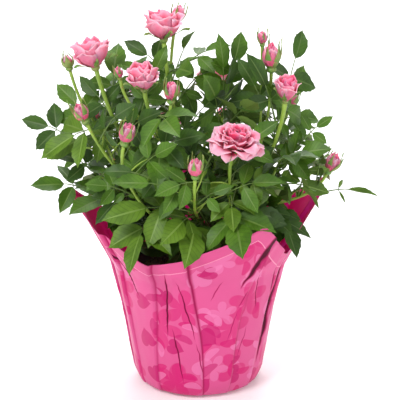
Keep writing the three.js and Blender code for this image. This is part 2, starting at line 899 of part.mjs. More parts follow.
// the leaves whose tips are named, each moved a little where it is not clear
function growSingles(mass) {
  for (const { start, tip, leaflets, i } of mass.singles) {
    LEAF.shifts.some(([forward, up, count]) => {
      const moved = tip.clone().add(new THREE.Vector3(0, forward, up));
      return placeLeaf(mass, start, moved, count ?? leaflets, [mass.number, i, 99 + up]);
    });
  }
}

// the leaves of a shoot turn round it, and each takes the first of a few aims that is clear
function growLeaves(mass) {
  for (const { arch, head, leaves, i } of mass.shoots) {
    const until = head ? LEAF.toBelowHead : LEAF.to;
    for (let k = 0; k < leaves; k += 1) {
      const keys = [mass.number, i, k];
      const t = mix(LEAF.from, until, (k + 0.8 * chance(...keys, 4)) / leaves);
      const start = arch.getPoint(t);
      const [side, rise] = across(arch, t);
      const outward = outwardOf(start);
      const leaflets = chance(...keys, 5) < LEAF.threeShare ? 3 : 5;
      for (let attempt = 0; attempt < LEAF.tries; attempt += 1) {
        const turn = (LEAF.turn * k + 360 * chance(mass.number, i, 6) + 67 * attempt) * DEGREE;
        const aim = side.clone().multiplyScalar(Math.cos(turn));
        aim.addScaledVector(rise, Math.sin(turn));
        aim.addScaledVector(outward, LEAF.outward).addScaledVector(UP, LEAF.lift).normalize();
        const span = mix(...LEAF.span, chance(...keys, 7)) * (attempt > 2 ? 0.85 : 1);
        const tip = start.clone().addScaledVector(aim, span).addScaledVector(UP, -LEAF.droop * span);
        if (insideCrown(tip) && placeLeaf(mass, start, tip, leaflets, keys)) {
          break;
        }
      }
    }
  }
}

function headSolid({ kind, size, axis, foot }) {
  const { profile, sides } = HEADS[kind];
  const geometry = lathe(profile, sides);
  geometry.scale(size, size, size);
  geometry.translate(0, 0, -0.5);
  geometry.applyQuaternion(new THREE.Quaternion().setFromUnitVectors(UP, axis));
  geometry.translate(foot.x, foot.y, foot.z);
  return solidOf(geometry);
}

// a four-sided body along a row of rings, each with its middle and its half width and half height
function ringBody(rings) {
  const geometry = new THREE.CylinderGeometry(1, 1, 1, 4, rings.length - 1);
  geometry.rotateY(Math.PI / 4);
  const place = geometry.attributes.position;
  for (let i = 0; i < place.count; i += 1) {
    const ring = rings[Math.round((place.getY(i) + 0.5) * (rings.length - 1))];
    const out = Math.sign(Math.round(2 * place.getX(i)));
    const up = Math.sign(Math.round(2 * place.getZ(i)));
    const point = ring.middle.clone().addScaledVector(ring.side, out * ring.width);
    point.addScaledVector(ring.normal, up * ring.height);
    place.setXYZ(i, point.x, point.y, point.z);
  }
  return solidOf(geometry);
}

function bladeRings({ base, ahead, normal, length }, grow) {
  const side = ahead.clone().cross(normal);
  const root = { middle: base, side, normal, width: ROOT.width + grow, height: ROOT.height + grow };
  const widest = {
    middle: base.clone().addScaledVector(ahead, LEAFLET.widest * length),
    side,
    normal,
    width: (LEAFLET.width * length) / 2 + grow,
    height: (LEAFLET.thickness * length) / 2 + grow,
  };
  const tip = base.clone().addScaledVector(ahead, length + grow);
  tip.addScaledVector(normal, -LEAFLET.hang * length);
  return [root, widest, { middle: tip, side, normal, width: 0, height: 0 }];
}

// a leaf's stalk, which runs on into its end leaflet: all its rings lie the end leaflet's way
function stalkSolid({ stalk: [start, knee], end }, grow = 0) {
  const half = STALK.half + grow;
  const side = end.ahead.clone().cross(end.normal);
  const rings = [start, knee].map((middle) => {
    return { middle, side, normal: end.normal, width: half, height: half };
  });
  return ringBody([...rings, ...bladeRings(end, grow)]);
}

function leafletSolid(blade, grow = 0) {
  return ringBody(bladeRings(blade, grow));
}

function boxesMeet(a, b) {
  return [0, 1, 2].every((i) => a.min[i] <= b.max[i] && b.min[i] <= a.max[i]);
}

function meets(solid, others) {
  const box = solid.boundingBox();
  return others.some((other) => boxesMeet(box, other.box) && !solid.intersect(other.solid).isEmpty());
}

// joins a mass's shoots, heads, stalks and leaflets into one body, clear of its neighbours
function fuse(mass, neighbours) {
  let solid = null;
  const join = (piece) => {
    solid = solid ? solid.add(piece) : piece;
  };
  for (const { arch, radii, head } of mass.shoots) {
    const steps = Math.max(2, Math.round(arch.getLength() / 40));
    join(rod({ arch, radii, sides: 3, steps }));
    if (head) {
      join(headSolid(head));
    }
  }
  for (const leaf of mass.leaves) {
    if (!meets(stalkSolid(leaf, GAP), neighbours)) {
      join(stalkSolid(leaf));
      const clear = leaf.pairs.flat().filter((blade) => !meets(leafletSolid(blade, GAP), neighbours));
      clear.forEach((blade) => join(leafletSolid(blade)));
    }
  }
  return mainBody(solid.subtract(rod(mass.limb, GAP)));
}

// ---------------------------------------------------------------- the model

function mesh(name, geometry, look) {
  const material = new THREE.MeshStandardMaterial(look);
  const made = new THREE.Mesh(geometry, material);
  made.name = name;
  return made;
}

const LOOKS = {
  cover: { color: 0xf2559e, roughness: 0.3, metalness: 0 },
  pot: { color: 0x2f2a28, roughness: 0.7, metalness: 0 },
  soil: { color: 0x3a2a1e, roughness: 1, metalness: 0 },
  wood: { color: 0x6f8a3c, roughness: 0.6, metalness: 0 },
  leaves: { color: 0x3f7a34, roughness: 0.7, metalness: 0 },
};

function build() {
  const model = new THREE.Group();
  const finished = [];
  const add = (name, solid, look) => {
    finished.push({ name, solid, box: solid.boundingBox() });
    model.add(mesh(name, geometryOf(solid), look));
  };
  add("pot_cover", solidOf(filmCover()), LOOKS.cover);
  add("nursery_pot", solidOf(nurseryPot()), LOOKS.pot);
  add("soil", solidOf(soil()), LOOKS.soil);

  const limbs = {};
  for (const [name, cane] of Object.entries(CANES)) {
    const shape = { arch: caneArch(cane), radii: cane.radii, sides: 6, steps: 5, flare: CANE_FLARE };
    limbs[name] = shape;
    taken.rods.push({ points: rodPoints(shape.arch, 12), radius: cane.radii[0] });
    add(name, rod(shape), LOOKS.wood);
  }
  for (const [name, bough] of Object.entries(BOUGHS)) {
    const shape = { arch: boughArch(bough), radii: BOUGH_RADII, sides: 4, steps: 2 };
    limbs[name] = shape;
    taken.rods.push({ points: rodPoints(shape.arch, 8), radius: BOUGH_RADII[0] });
    const cut = rod(shape).subtract(rod(limbs[bough.cane], GAP));
    add(`bough_${name}`, mainBody(cut), LOOKS.wood);
  }

  const masses = Object.keys(MASSES).map((name, number) => growShoots(name, number, limbs));
  masses.forEach(growSingles);
  masses.forEach(growLeaves);
  for (const mass of masses) {
    add(`${mass.name}_leaves`, fuse(mass, finished), LOOKS.leaves);
  }
  return model;
}

export default build();
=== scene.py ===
# A potted miniature rose bush: canes, boughs, shoots, compound leaves, blooms and buds, in a nursery
# pot inside a pleated and flared film cover. Sizes are in millimetres unless a name says otherwise,
# and each mesh is put down in metres.
import math

import bmesh
import bpy
import numpy as np
from mathutils import Matrix, Vector, noise


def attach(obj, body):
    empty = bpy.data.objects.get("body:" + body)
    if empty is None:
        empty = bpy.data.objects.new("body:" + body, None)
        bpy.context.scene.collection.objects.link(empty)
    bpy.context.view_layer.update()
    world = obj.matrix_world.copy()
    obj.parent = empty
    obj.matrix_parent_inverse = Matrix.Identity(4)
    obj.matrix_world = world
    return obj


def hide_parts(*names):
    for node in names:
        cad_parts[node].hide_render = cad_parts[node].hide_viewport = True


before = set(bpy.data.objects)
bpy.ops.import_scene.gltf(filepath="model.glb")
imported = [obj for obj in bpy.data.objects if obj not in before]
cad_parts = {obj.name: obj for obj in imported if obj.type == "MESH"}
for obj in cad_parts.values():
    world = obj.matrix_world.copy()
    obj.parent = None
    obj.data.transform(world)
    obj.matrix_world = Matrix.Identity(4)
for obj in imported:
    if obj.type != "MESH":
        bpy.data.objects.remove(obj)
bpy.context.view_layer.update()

MM = 0.001
GAP = 0.3
UP = np.array([0.0, 0.0, 1.0])
ASIDE = np.array([0.31, 0.95, 0.02])  # a direction that no stem runs along
FULL_TURN = 2 * math.pi

# ------------------------------------------------------------------ the film cover's sizes

FILM = 0.45  # the film's thickness
COVER_PROFILE = [(50, 0), (58, 3.8), (61.5, 13), (72, 77), (81.5, 120)]  # radius and height
KINK_RADIUS, KINK_HEIGHT = COVER_PROFILE[-1]
FLARE_START = 0.6  # the kink, as a share of the climb from the foot to the rim
PLEAT_STEP = (1.2, 3, 4.4)  # how far a pleat stands proud at the foot, the kink and the rim
PLEAT_GAP = 1.1  # degrees that the return of a pleat takes
PLEAT_SWAY = 2.4  # degrees that a pleat strays from its line
# the sheet's rim: azimuth, height and radius of its corners, and of the dips between them
RIM = [
    (-178, 191, 118),
    (-118, 141, 93),
    (-58, 182, 112),
    (-24, 136, 89),
    (14, 190, 124),
    (56, 142, 93),
    (97, 188, 120),
    (140, 140, 91),
]
RIM_CURVE = 1.28
# each pleat: its azimuth and the darkness of its shadow, both at the foot and at the rim
PLEATS = [
    ((-176, -171), (0.4, 0.7)),
    ((-152, -148), (0.2, 0.6)),
    ((-128, -118), (0.3, 0.5)),
    ((-86, -98), (0.5, 0.7)),
    ((-62, -48), (0.25, 0.8)),
    ((-36, -34), (0.3, 0.5)),
    ((-8, -14), (0.9, 1)),
    ((16, 8), (0.3, 0.7)),
    ((38, 31), (0.6, 0.5)),
    ((60, 54), (0.2, 0.8)),
    ((82, 78), (0.7, 0.7)),
    ((104, 103), (0.4, 0.5)),
    ((126, 128), (0.5, 0.9)),
    ((150, 156), (0.6, 0.4)),
]
SHADE_FADE = (1, 0.1)  # a pleat's shadow on the first two columns of its panel
PANEL_COLUMNS = 18
COVER_ROWS = 56
TUCKED = 5  # millimetres of the flat sheet that each pleat hides
WALL_SLANT = 1.03  # the length of the wall for each millimetre of its height

# ------------------------------------------------------------------ the plant's sizes

SOIL_TOP = 103
# each cane rises from a flat cut at the soil: its foot, its tip and its radii
CANES = {
    "cane_left": ((-17, -5), (-35, -9, 178), (3.3, 2.1)),
    "cane_front": ((2, -19), (0, -38, 170), (3.1, 2)),
    "cane_right": ((18, -3), (39, -6, 180), (3.4, 2.1)),
    "cane_back": ((-2, 17), (-5, 37, 182), (3.5, 2.2)),
    "cane_centre": ((1, 0), (-4, -2, 205), (3.8, 2.2)),
}
CANE_RISE = 0.45  # how far a cane climbs before it bends, as a share of its height
CANE_FLARE = 1.5  # how much further out the bark stands at a cane's foot
FLARE_FADE = 12  # how soon that is gone further up
# each bough leaves a cane part of the way up and ends where its mass begins
BOUGHS = {
    "left_mid": ("cane_left", 0.72, (-62, -24, 198)),
    "left_low": ("cane_left", 0.5, (-64, 0, 170)),
    "front_left": ("cane_front", 0.6, (-36, -54, 174)),
    "front_right": ("cane_front", 0.75, (30, -54, 184)),
    "right_mid": ("cane_right", 0.75, (66, -20, 200)),
    "right_low": ("cane_right", 0.5, (66, 4, 170)),
    "back_left": ("cane_back", 0.75, (-42, 44, 192)),
    "back_right": ("cane_back", 0.62, (36, 46, 188)),
    "back_low_left": ("cane_back", 0.45, (-36, 62, 164)),
    "back_low_right": ("cane_back", 0.35, (30, 66, 162)),
    "crown_left": ("cane_centre", 0.86, (-26, -24, 230)),
    "crown_right": ("cane_centre", 0.72, (19, -5, 230)),
}
BOUGH_RADII = (1.9, 1.4)
BOUGH_BOW, BOUGH_SAG = 0.12, 0.04  # how far a bough bows out and down, as shares of its reach

# Each mass stands on a cane or a bough, and its first shoot is its stem. A flower shoot has its head,
# the head's middle, its lean in x and y, its size and the shoot's leaves. A leafy shoot has the tip of
# its last leaf and its other leaves. A single leaf has its tip, the place where it leaves the stem,
# as a share of the stem's length, and its leaflets.
MASSES = {
    "crown": (
        "cane_centre",
        [
            ("bloom", (-31, -10, 342), (-0.05, 0.05), 37, 4),
            ("bud", (-18, 12, 348), (0.25, 0.1), 19, 2),
            ("leaf", (-65, -5, 328), 0.72, 3),
            ("leaf", (-69, -15, 309), 0.58, 5),
            ("leaf", (-4, 15, 334), 0.62, 5),
        ],
    ),
    "crown_left": (
        "crown_left",
        [
            ("bloom", (-48, -50, 304), (-0.1, -0.12), 32, 2),
            ("bud", (-70, -35, 305), (-0.2, 0), 12, 2),
            ("bud", (-23, -60, 294), (0.05, -0.1), 21, 2),
        ],
    ),
    "crown_right": (
        "crown_right",
        [
            ("leafy", (40, 12, 331), 3),
            ("leaf", (22, 2, 328), 0.6, 3),
            ("leaf", (12, -60, 304), 0.15, 3),
            ("leaf", (32, -15, 313), 0.4, 3),
            ("leaf", (52, -55, 284), 0.1, 5),
        ],
    ),
    "left_tall": (
        "cane_left",
        [
            ("bloom", (-94, -25, 320), (-0.25, 0.05), 38, 3),
            ("closed", (-118, 0, 308), (-0.25, 0.05), 18, 3),
            ("leaf", (-74, 10, 324), 0.66, 3),
            ("leaf", (-107, 0, 292), 0.6, 3),
            ("leaf", (-73, -50, 259), 0.5, 3),
        ],
    ),
    "left_mid": (
        "left_mid",
        [
            ("bud", (-103, -45, 271), (-0.45, -0.1), 21, 2),
            ("leafy", (-160, -5, 255), 2),
            ("leafy", (-128, 12, 282), 1),
            ("leaf", (-100, -50, 204), 0.25, 3),
        ],
    ),
    "left_low": (
        "left_low",
        [
            ("leafy", (-150, -30, 200), 3),
            ("leafy", (-129, -20, 230), 2),
            ("leafy", (-128, 45, 215), 2),
            ("leaf", (-112, -55, 186), 0.1, 3),
        ],
    ),
    "front_left": (
        "front_left",
        [
            ("bud", (-62, -75, 260), (0.25, -0.1), 22, 3),
            ("leaf", (-62, -112, 150), 0.06, 3),
            ("leaf", (-98, -72, 214), 0.3, 5),
        ],
    ),
    "front_mid": (
        "cane_front",
        [
            ("bud", (-2, -95, 235), (0.05, -0.15), 20, 3),
            ("leaf", (-80, -95, 191), 0.3, 3),
            ("leaf", (-54, -75, 212), 0.55, 3),
            ("leaf", (-7, -114, 160), 0.05, 3),
            ("leaf", (-26, -112, 178), 0.14, 3),
            ("leaf", (29, -84, 216), 0.5, 3),
        ],
    ),
    "front_right": (
        "front_right",
        [
            ("rosette", (34, -85, 257), (0.25, -0.45), 50, 3),
            ("leaf", (31, -102, 182), 0.25, 3),
            ("leaf", (38, -119, 164), 0.05, 3),
            ("leaf", (74, -82, 214), 0.4, 5),
        ],
    ),
    "right_tall": (
        "cane_right",
        [
            ("half", (79, -32, 289), (0.1, -0.1), 25, 3),
            ("bud", (66, -10, 313), (0, 0.05), 26, 1),
            ("bud", (59, 25, 323), (0, 0.1), 14, 1),
            ("leaf", (49, -12, 326), 0.7, 3),
            ("leaf", (98, 28, 331), 0.7, 3),
            ("leaf", (38, -4, 312), 0.6, 5),
            ("leaf", (100, 6, 293), 0.55, 3),
        ],
    ),
    "right_mid": (
        "right_mid",
        [
            ("leafy", (122, -10, 259), 2),
            ("leaf", (105, -32, 228), 0.2, 3),
            ("leaf", (114, -44, 240), 0.3, 3),
        ],
    ),
    "right_low": (
        "right_low",
        [
            ("bud", (124, 5, 210), (0.45, 0), 22, 2),
            ("leafy", (168, 5, 180), 0),
            ("leaf", (91, -32, 133), 0.05, 5),
            ("leafy", (125, 45, 215), 2),
        ],
    ),
    "back_left": (
        "back_left",
        [
            ("bloom", (-52, 62, 268), (-0.2, 0.4), 34, 3),
            ("bud", (-98, 50, 246), (-0.4, 0.3), 20, 2),
            ("leafy", (-115, 70, 232), 1),
        ],
    ),
    "back_mid": (
        "cane_back",
        [
            ("bloom", (16, 70, 270), (0.1, 0.45), 38, 3),
            ("leafy", (-18, 100, 255), 2),
        ],
    ),
    "back_right": (
        "back_right",
        [
            ("bud", (88, 52, 258), (0.3, 0.3), 22, 3),
            ("bud", (55, 85, 250), (0.1, 0.4), 20, 2),
            ("leafy", (112, 72, 228), 1),
        ],
    ),
    "back_low_left": (
        "back_low_left",
        [
            ("rosette", (-36, 104, 222), (-0.3, 0.8), 42, 2),
            ("leafy", (-84, 96, 190), 2),
            ("leaf", (-34, 122, 170), 0.1, 5),
        ],
    ),
    "back_low_right": (
        "back_low_right",
        [
            ("bud", (24, 110, 226), (0.1, 0.4), 21, 2),
            ("leafy", (82, 100, 188), 2),
            ("leaf", (42, 122, 172), 0.1, 5),
        ],
    ),
}

# the space of each flower head: widest radius, height and middle, as shares of its size
HEADS = {
    "bud": (0.3, 1, 0.5),
    "closed": (0.3, 1, 0.5),
    "half": (0.48, 0.9, 0.5),
    "bloom": (0.5, 0.72, 0.4),
    "rosette": (0.5, 0.46, 0.26),
}
SHOOT_RADII = (1.4, 0.95)
SIDE_SHOOT = 0.85  # a side shoot's radii, as a share of those
# the radius of each shoot at its tip
NECKS = {"bud": 1.7, "closed": 1.6, "half": 2.3, "bloom": 2.2, "rosette": 2, "leafy": 0.8}
SHOOT_RISE = 0.14  # how far a leafy shoot bows up, as a share of its reach
SHOOT_LEAD = 0.42  # how far below its head a flower shoot aims, as a share of its reach
SHOOT_FREE = 14  # so near its start a shoot may touch what it grows from
LEAFY_END = {"longest": 0.62, "lift": 0.1}  # the last leaf of a leafy shoot, as shares of its reach and span
FORK_FROM, FORK_STEP = 0.1, 0.13
SWAY = (0, 5, -5, 10, -10, 15, -15)
LEAF = {
    "span": (64, 82),
    "turn": 144,
    "next_turn": 67,
    "stray": 0.8,
    "from": 0.16,
    "to": 0.92,
    "to_below_head": 0.78,
    "outward": 0.6,
    "lift": 0.22,
    "droop": 0.14,
    "arch": 0.17,
    "three_share": 0.36,
    "tries": 6,
    "full_tries": 3,
    "late_size": 0.85,
}
FACE = {"outward": 0.45, "front": 0.6, "up": 0.55, "unrest": 0.9, "back_from": 15}
# how a leaf with a named tip may be moved forward and up, and a number of leaflets it may fall back on
SHIFTS = [
    (0, 0, None),
    (0, 0, 3),
    (-7, 3, None),
    (7, -3, None),
    (-12, -6, 3),
    (12, 6, 3),
    (-5, 10, 3),
    (5, -10, 3),
]
LAST_LEAFLET = {3: 0.56, 5: 0.46}
LONGEST_LEAFLET = 40
LEAFLET_PAIRS = {3: [(0.72, 0.82)], 5: [(0.42, 0.64), (0.82, 0.86)]}  # place on the stalk and size
LEAFLET = {
    "angle": 62,
    "width": 0.64,
    "widest": 0.43,
    "thickness": 0.027,
    "hang": 0.06,
    "unrest": 0.25,
    "dip": 0.12,
}
STALK_ROOM = 1  # the radius that the rule gives a leaf's stalk
STALK_FREE = 12  # so near its foot a stalk may touch what it grows from
STALK_STEPS = (0, 0.33, 0.67)
# finer twigs between the leaves of each shoot, and leaves that stand on the limbs inside the bush
TWIG = {
    "places": (0.22, 0.4, 0.58, 0.74),
    "few_places": (0.22, 0.4),
    "short_shoot": 70,
    "length": (18, 34),
    "radii": (0.8, 0.55),
    "span": (52, 68),
    "outward": 0.3,
    "lift": 0.35,
    "bow": 0.1,
    "hang": 0.25,
    "free": 9,
    "three_share": 0.6,
    "tries": 7,
}
INNER = {
    "places": (0.3, 0.42, 0.54, 0.66, 0.78, 0.9),
    "span": (52, 72),
    "low": 109,
    "outward": 0.7,
    "lift": 0.3,
    "droop": 0.1,
    "dark_below": 0.6,
    "tries": 8,
}
FILLING = INNER | {"places": (0.25, 0.4, 0.6, 0.8, 0.95), "span": (44, 58), "low": 107}
CROWN = {"x": 2, "y": 0, "z": 232, "width": 150, "depth": 128, "height": 104, "fall": 0.33, "low": 128}
# the share of light leaves and of mid ones, and where leaves are lighter
TONE = {"light": 0.08, "low_front": 0.4, "low_outside": 0.12, "mid": 0.45, "mid_at_top": 0.5}
TONE_EDGES = {"low": 225, "front": -70, "outside": 95, "top": 280}
# the room kept from the sheet, its rim, rods, blades and heads, and how far off others are looked for
ROOM = {
    "sheet": 2.5,
    "sheet_outside": 1.5,
    "rim": 2,
    "rod": 1,
    "blade": 0.5,
    "blade_to_rod": 0.6,
    "head": 1.5,
}
LEAF_REACH, ROD_REACH = 160, 20
BLADE_REACH = 0.62  # as a share of the lengths of two blades
SEED = 7
WORD = 0xFFFFFFFF  # draws are worked out in 32 bits
KEY_SHIFT = 0x9E3779B9
FIRST_FACTOR, SECOND_FACTOR = 0x85EBCA6B, 0xC2B2AE35


# ------------------------------------------------------------------ small sums


def mix(a, b, t):
    return a + (b - a) * t


def unit(v):
    return v / math.sqrt(float(v @ v))


def vec(x, y, z):
    return np.array([x, y, z], float)


def chance(*keys):
    """A number from 0 to 1 that depends only on its keys; the last one tells draws apart."""
    h = SEED
    for key in keys:
        h = ((h ^ ((key + KEY_SHIFT) & WORD)) * FIRST_FACTOR) & WORD
        h ^= h >> 13
        h = (h * SECOND_FACTOR) & WORD
        h ^= h >> 16
    return h / (WORD + 1)


noise.seed_set(SEED)  # without a seed, vector noise would differ from run to run


class Arch:
    """A curve with one bend, from start to end."""

    def __init__(self, start, bend, end):
        self.start, self.bend, self.end = start, bend, end

    def point(self, t):
        return (1 - t) ** 2 * self.start + 2 * (1 - t) * t * self.bend + t * t * self.end

    def run(self, t):
        return unit((1 - t) * (self.bend - self.start) + t * (self.end - self.bend))

    def points(self, count):
        return np.array([self.point(i / count) for i in range(count + 1)])

    def length(self):
        points = self.points(16)
        return float(np.linalg.norm(points[1:] - points[:-1], axis=1).sum())

    def across(self, t):
        """The direction square to the arch's plane, and the one square to that and to its run."""
        run = self.run(t)
        bend = np.cross(self.bend - self.start, self.end - self.bend)
        side = bend if bend @ bend > 1e-6 else np.cross(ASIDE, run)
        side = unit(side - run * (side @ run))
        return side, unit(np.cross(side, run))


# ------------------------------------------------------------------ the film cover's shape


def turn_to(start, end):
    """The turn from one azimuth on to another, from 0 to 360 degrees."""
    return (end - start) % 360


def rim_at(azimuth):
    """The rim's height at an azimuth, and how far the sheet leans out per millimetre of rise."""
    for i, start in enumerate(RIM):
        end = RIM[(i + 1) % len(RIM)]
        if turn_to(start[0], azimuth) <= turn_to(start[0], end[0]):
            break
    u = turn_to(start[0], azimuth) / turn_to(start[0], end[0])
    dip, corner, towards = (start, end, u) if start[1] < end[1] else (end, start, 1 - u)
    rise = towards**RIM_CURVE
    leans = [(radius - KINK_RADIUS) / (height - KINK_HEIGHT) for _, height, radius in (dip, corner)]
    return mix(dip[1], corner[1], rise), mix(leans[0], leans[1], rise)


def cover_radius(azimuth, height):
    """The radius of the sheet without its pleats, folds and dents."""
    if height > KINK_HEIGHT:
        return KINK_RADIUS + rim_at(azimuth)[1] * (height - KINK_HEIGHT)
    for (low_radius, low), (high_radius, high) in zip(COVER_PROFILE, COVER_PROFILE[1:]):
        if high >= height:
            break
    return mix(low_radius, high_radius, (height - low) / (high - low))


def pleat_step(height, rim):
    """How far a pleat stands proud at a height."""
    foot, kink, top = PLEAT_STEP
    if height < KINK_HEIGHT:
        return mix(foot, kink, height / KINK_HEIGHT)
    return mix(kink, top, (height - KINK_HEIGHT) / (rim - KINK_HEIGHT))


def cover_side(point):
    """0 above the rim, -1 inside the sheet, 1 outside it and 2 in it."""
    azimuth = math.degrees(math.atan2(point[1], point[0]))
    pleat = PLEAT_STEP[2] / 2
    if point[2] > rim_at(azimuth)[0] + ROOM["rim"]:
        return 0
    clear = math.hypot(point[0], point[1]) - cover_radius(azimuth, max(point[2], 1))
    if clear < -ROOM["sheet"] - pleat:
        return -1
    return 1 if clear > ROOM["sheet_outside"] + pleat else 2


def crosses_cover(points):
    """True for points that run into the sheet or from one side of it to the other."""
    sides = {cover_side(point) for point in points}
    return 2 in sides or (-1 in sides and 1 in sides)


# ------------------------------------------------------------------ keeping clear

BLADE_EDGES = np.array(
    [(0, 2), (0, 3), (0, 4), (0, 5), (1, 2), (1, 3), (1, 4), (1, 5), (2, 4), (4, 3), (3, 5), (5, 2)]
)
BLADE_FACES = np.array(
    [(0, 2, 4), (0, 4, 3), (0, 3, 5), (0, 5, 2), (1, 4, 2), (1, 3, 4), (1, 5, 3), (1, 2, 5)]
)


def blade_corners(blades, grow=0.0):
    """The six corners of each leaflet: tip, base, two sides, top and underside."""
    base, ahead, normal = (np.array([b[key] for b in blades]) for key in ("base", "ahead", "normal"))
    length = np.array([[b["length"]] for b in blades])
    side = np.cross(normal, ahead)
    widest = base + ahead * LEAFLET["widest"] * length
    half = LEAFLET["width"] * length / 2 + grow
    thick = LEAFLET["thickness"] * length / 2 + grow
    tip = base + ahead * (length + grow) - normal * LEAFLET["hang"] * length
    corners = [tip, base - ahead * grow, widest + side * half, widest - side * half]
    corners += [widest + normal * thick, widest - normal * thick]
    return np.stack(corners, axis=1)


def pierced(starts, ends, faces):
    """True where any of the lines goes through any of the triangles."""
    run = (ends - starts)[:, None]
    first = (faces[:, 1] - faces[:, 0])[None]
    second = (faces[:, 2] - faces[:, 0])[None]
    h = np.cross(run, second)
    det = (first * h).sum(-1)
    sound = np.abs(det) > 1e-12
    det = np.where(sound, det, 1)
    s = starts[:, None] - faces[None, :, 0]
    u = (s * h).sum(-1) / det
    k = np.cross(s, first)
    w = (run * k).sum(-1) / det
    t = (second * k).sum(-1) / det
    return bool((sound & (u >= 0) & (w >= 0) & (u + w <= 1) & (t >= 0) & (t <= 1)).any())


def is_in_head(points, head, room):
    """True where a point lies in the egg-shaped space round a flower head."""
    wide_share, height_share, _ = HEADS[head["kind"]]
    half = height_share * head["size"] / 2
    wide = wide_share * head["size"]
    reach = points - head["foot"] - head["axis"] * half
    along = reach @ head["axis"]
    out2 = np.maximum(0, (reach * reach).sum(1) - along**2)
    return bool(((along / (half + room)) ** 2 + out2 / (wide + room) ** 2 < 1).any())


class Taken:
    """Everything that a new shoot or leaf keeps clear of."""

    def __init__(self):
        self.rods, self.heads, self.blades = [], [], []

    def add_rod(self, points, radius):
        self.rods += [(points[i], points[i + 1], radius) for i in range(len(points) - 1)]
        starts, ends, radii = zip(*self.rods)
        self.starts, self.ends, self.radii = np.array(starts), np.array(ends), np.array(radii)
        self.middles = (self.starts + self.ends) / 2

    def add_blades(self, blades):
        self.blades += blades
        self.blade_bases = np.array([b["base"] for b in self.blades])
        lengths = np.array([[b["length"]] for b in self.blades])
        aheads = np.array([b["ahead"] for b in self.blades])
        self.blade_middles = self.blade_bases + aheads * lengths / 2
        self.blade_lengths = lengths[:, 0]

    def line_is_clear(self, points, radius, free_start):
        start = points[0]
        free = points[np.linalg.norm(points - start, axis=1) > free_start]
        run = self.ends - self.starts
        reach = free[:, None] - self.starts[None]
        t = np.clip((reach * run).sum(-1) / (run * run).sum(-1), 0, 1)
        apart = np.linalg.norm(reach - run[None] * t[..., None], axis=-1)
        if (apart < radius + self.radii + ROOM["rod"]).any():
            return False
        if any(is_in_head(points, head, radius + ROOM["rod"]) for head in self.heads):
            return False
        if self.blades:
            near = np.flatnonzero(np.linalg.norm(self.blade_bases - start, axis=1) <= LEAF_REACH)
            if len(near):
                corners = blade_corners([self.blades[i] for i in near], radius + ROOM["blade"])
                faces = corners[:, BLADE_FACES].reshape(-1, 3, 3)
                if pierced(points[:-1], points[1:], faces):
                    return False
        return not crosses_cover(points)

    def blade_is_clear(self, blade):
        corners = blade_corners([blade], ROOM["blade"])[0]
        middle = blade["base"] + blade["ahead"] * blade["length"] / 2
        samples = np.array(
            [*corners[:4], middle]
            + [(corners[0] + middle) / 2, (corners[1] + middle) / 2]
            + [(corners[2] + corners[0]) / 2, (corners[3] + corners[0]) / 2]
        )
        in_head = any(is_in_head(samples, head, ROOM["head"]) for head in self.heads)
        if in_head or crosses_cover(samples):
            return False
        close = np.linalg.norm(self.middles - middle, axis=1) < blade["length"] + ROD_REACH
        for radius in set(self.radii[close]):
            chosen = close & (self.radii == radius)
            faces = blade_corners([blade], radius + ROOM["blade_to_rod"])[0][BLADE_FACES]
            if pierced(self.starts[chosen], self.ends[chosen], faces):
                return False
        if not self.blades:
            return True
        room = (self.blade_lengths + blade["length"]) * BLADE_REACH
        near = np.flatnonzero(np.linalg.norm(self.blade_middles - middle, axis=1) <= room)
        if not len(near):
            return True
        others = blade_corners([self.blades[i] for i in near])
        mine, theirs = corners[BLADE_EDGES], others[:, BLADE_EDGES].reshape(-1, 2, 3)
        if pierced(mine[:, 0], mine[:, 1], others[:, BLADE_FACES].reshape(-1, 3, 3)):
            return False
        return not pierced(theirs[:, 0], theirs[:, 1], corners[BLADE_FACES])


taken = Taken()


def inside_crown(point, low=CROWN["low"]):
    """True inside the egg shape that the whole bush keeps to."""
    height = point[2] + CROWN["fall"] * max(point[1], 0) - CROWN["z"]
    wide = (point[0] - CROWN["x"]) / CROWN["width"]
    deep = (point[1] - CROWN["y"]) / CROWN["depth"]
    return wide**2 + deep**2 + (height / CROWN["height"]) ** 2 < 1 and point[2] > low


# ------------------------------------------------------------------ growing the bush


def outward_of(point):
    return unit(vec(point[0], point[1], 0))


def square_to(direction, ahead):
    """The part of a direction that is square to another."""
    return unit(direction - ahead * (direction @ ahead))


def aim_off(arch, place, turn, outward, lift):
    """A direction away from an arch at a turn round it, drawn outward and up."""
    side, rise = arch.across(place)
    aim = side * math.cos(turn) + rise * math.sin(turn)
    return unit(aim + outward_of(arch.point(place)) * outward + UP * lift)


def facing_at(joint, keys):
    """The way a leaf faces: outward, up and to the front or the back, with some unrest."""
    facing = outward_of(joint) * FACE["outward"] + UP * FACE["up"]
    facing[0] += FACE["unrest"] * (chance(*keys, 11) - 0.5)
    front = FACE["front"] if joint[1] > FACE["back_from"] else -FACE["front"]
    facing[1] += front + FACE["unrest"] * (chance(*keys, 12) - 0.5)
    return facing


def side_leaflet(base, run, normal, hand, draw, size):
    """A leaflet that stands off its stalk to one side and dips a little."""
    side = unit(np.cross(normal, run))
    turn = math.radians(LEAFLET["angle"]) + LEAFLET["unrest"] * (draw - 0.5)
    aim = run * math.cos(turn) + side * hand * math.sin(turn)
    aim = unit(aim - UP * LEAFLET["dip"])
    return {"base": base, "ahead": aim, "normal": square_to(normal, aim), "length": size}


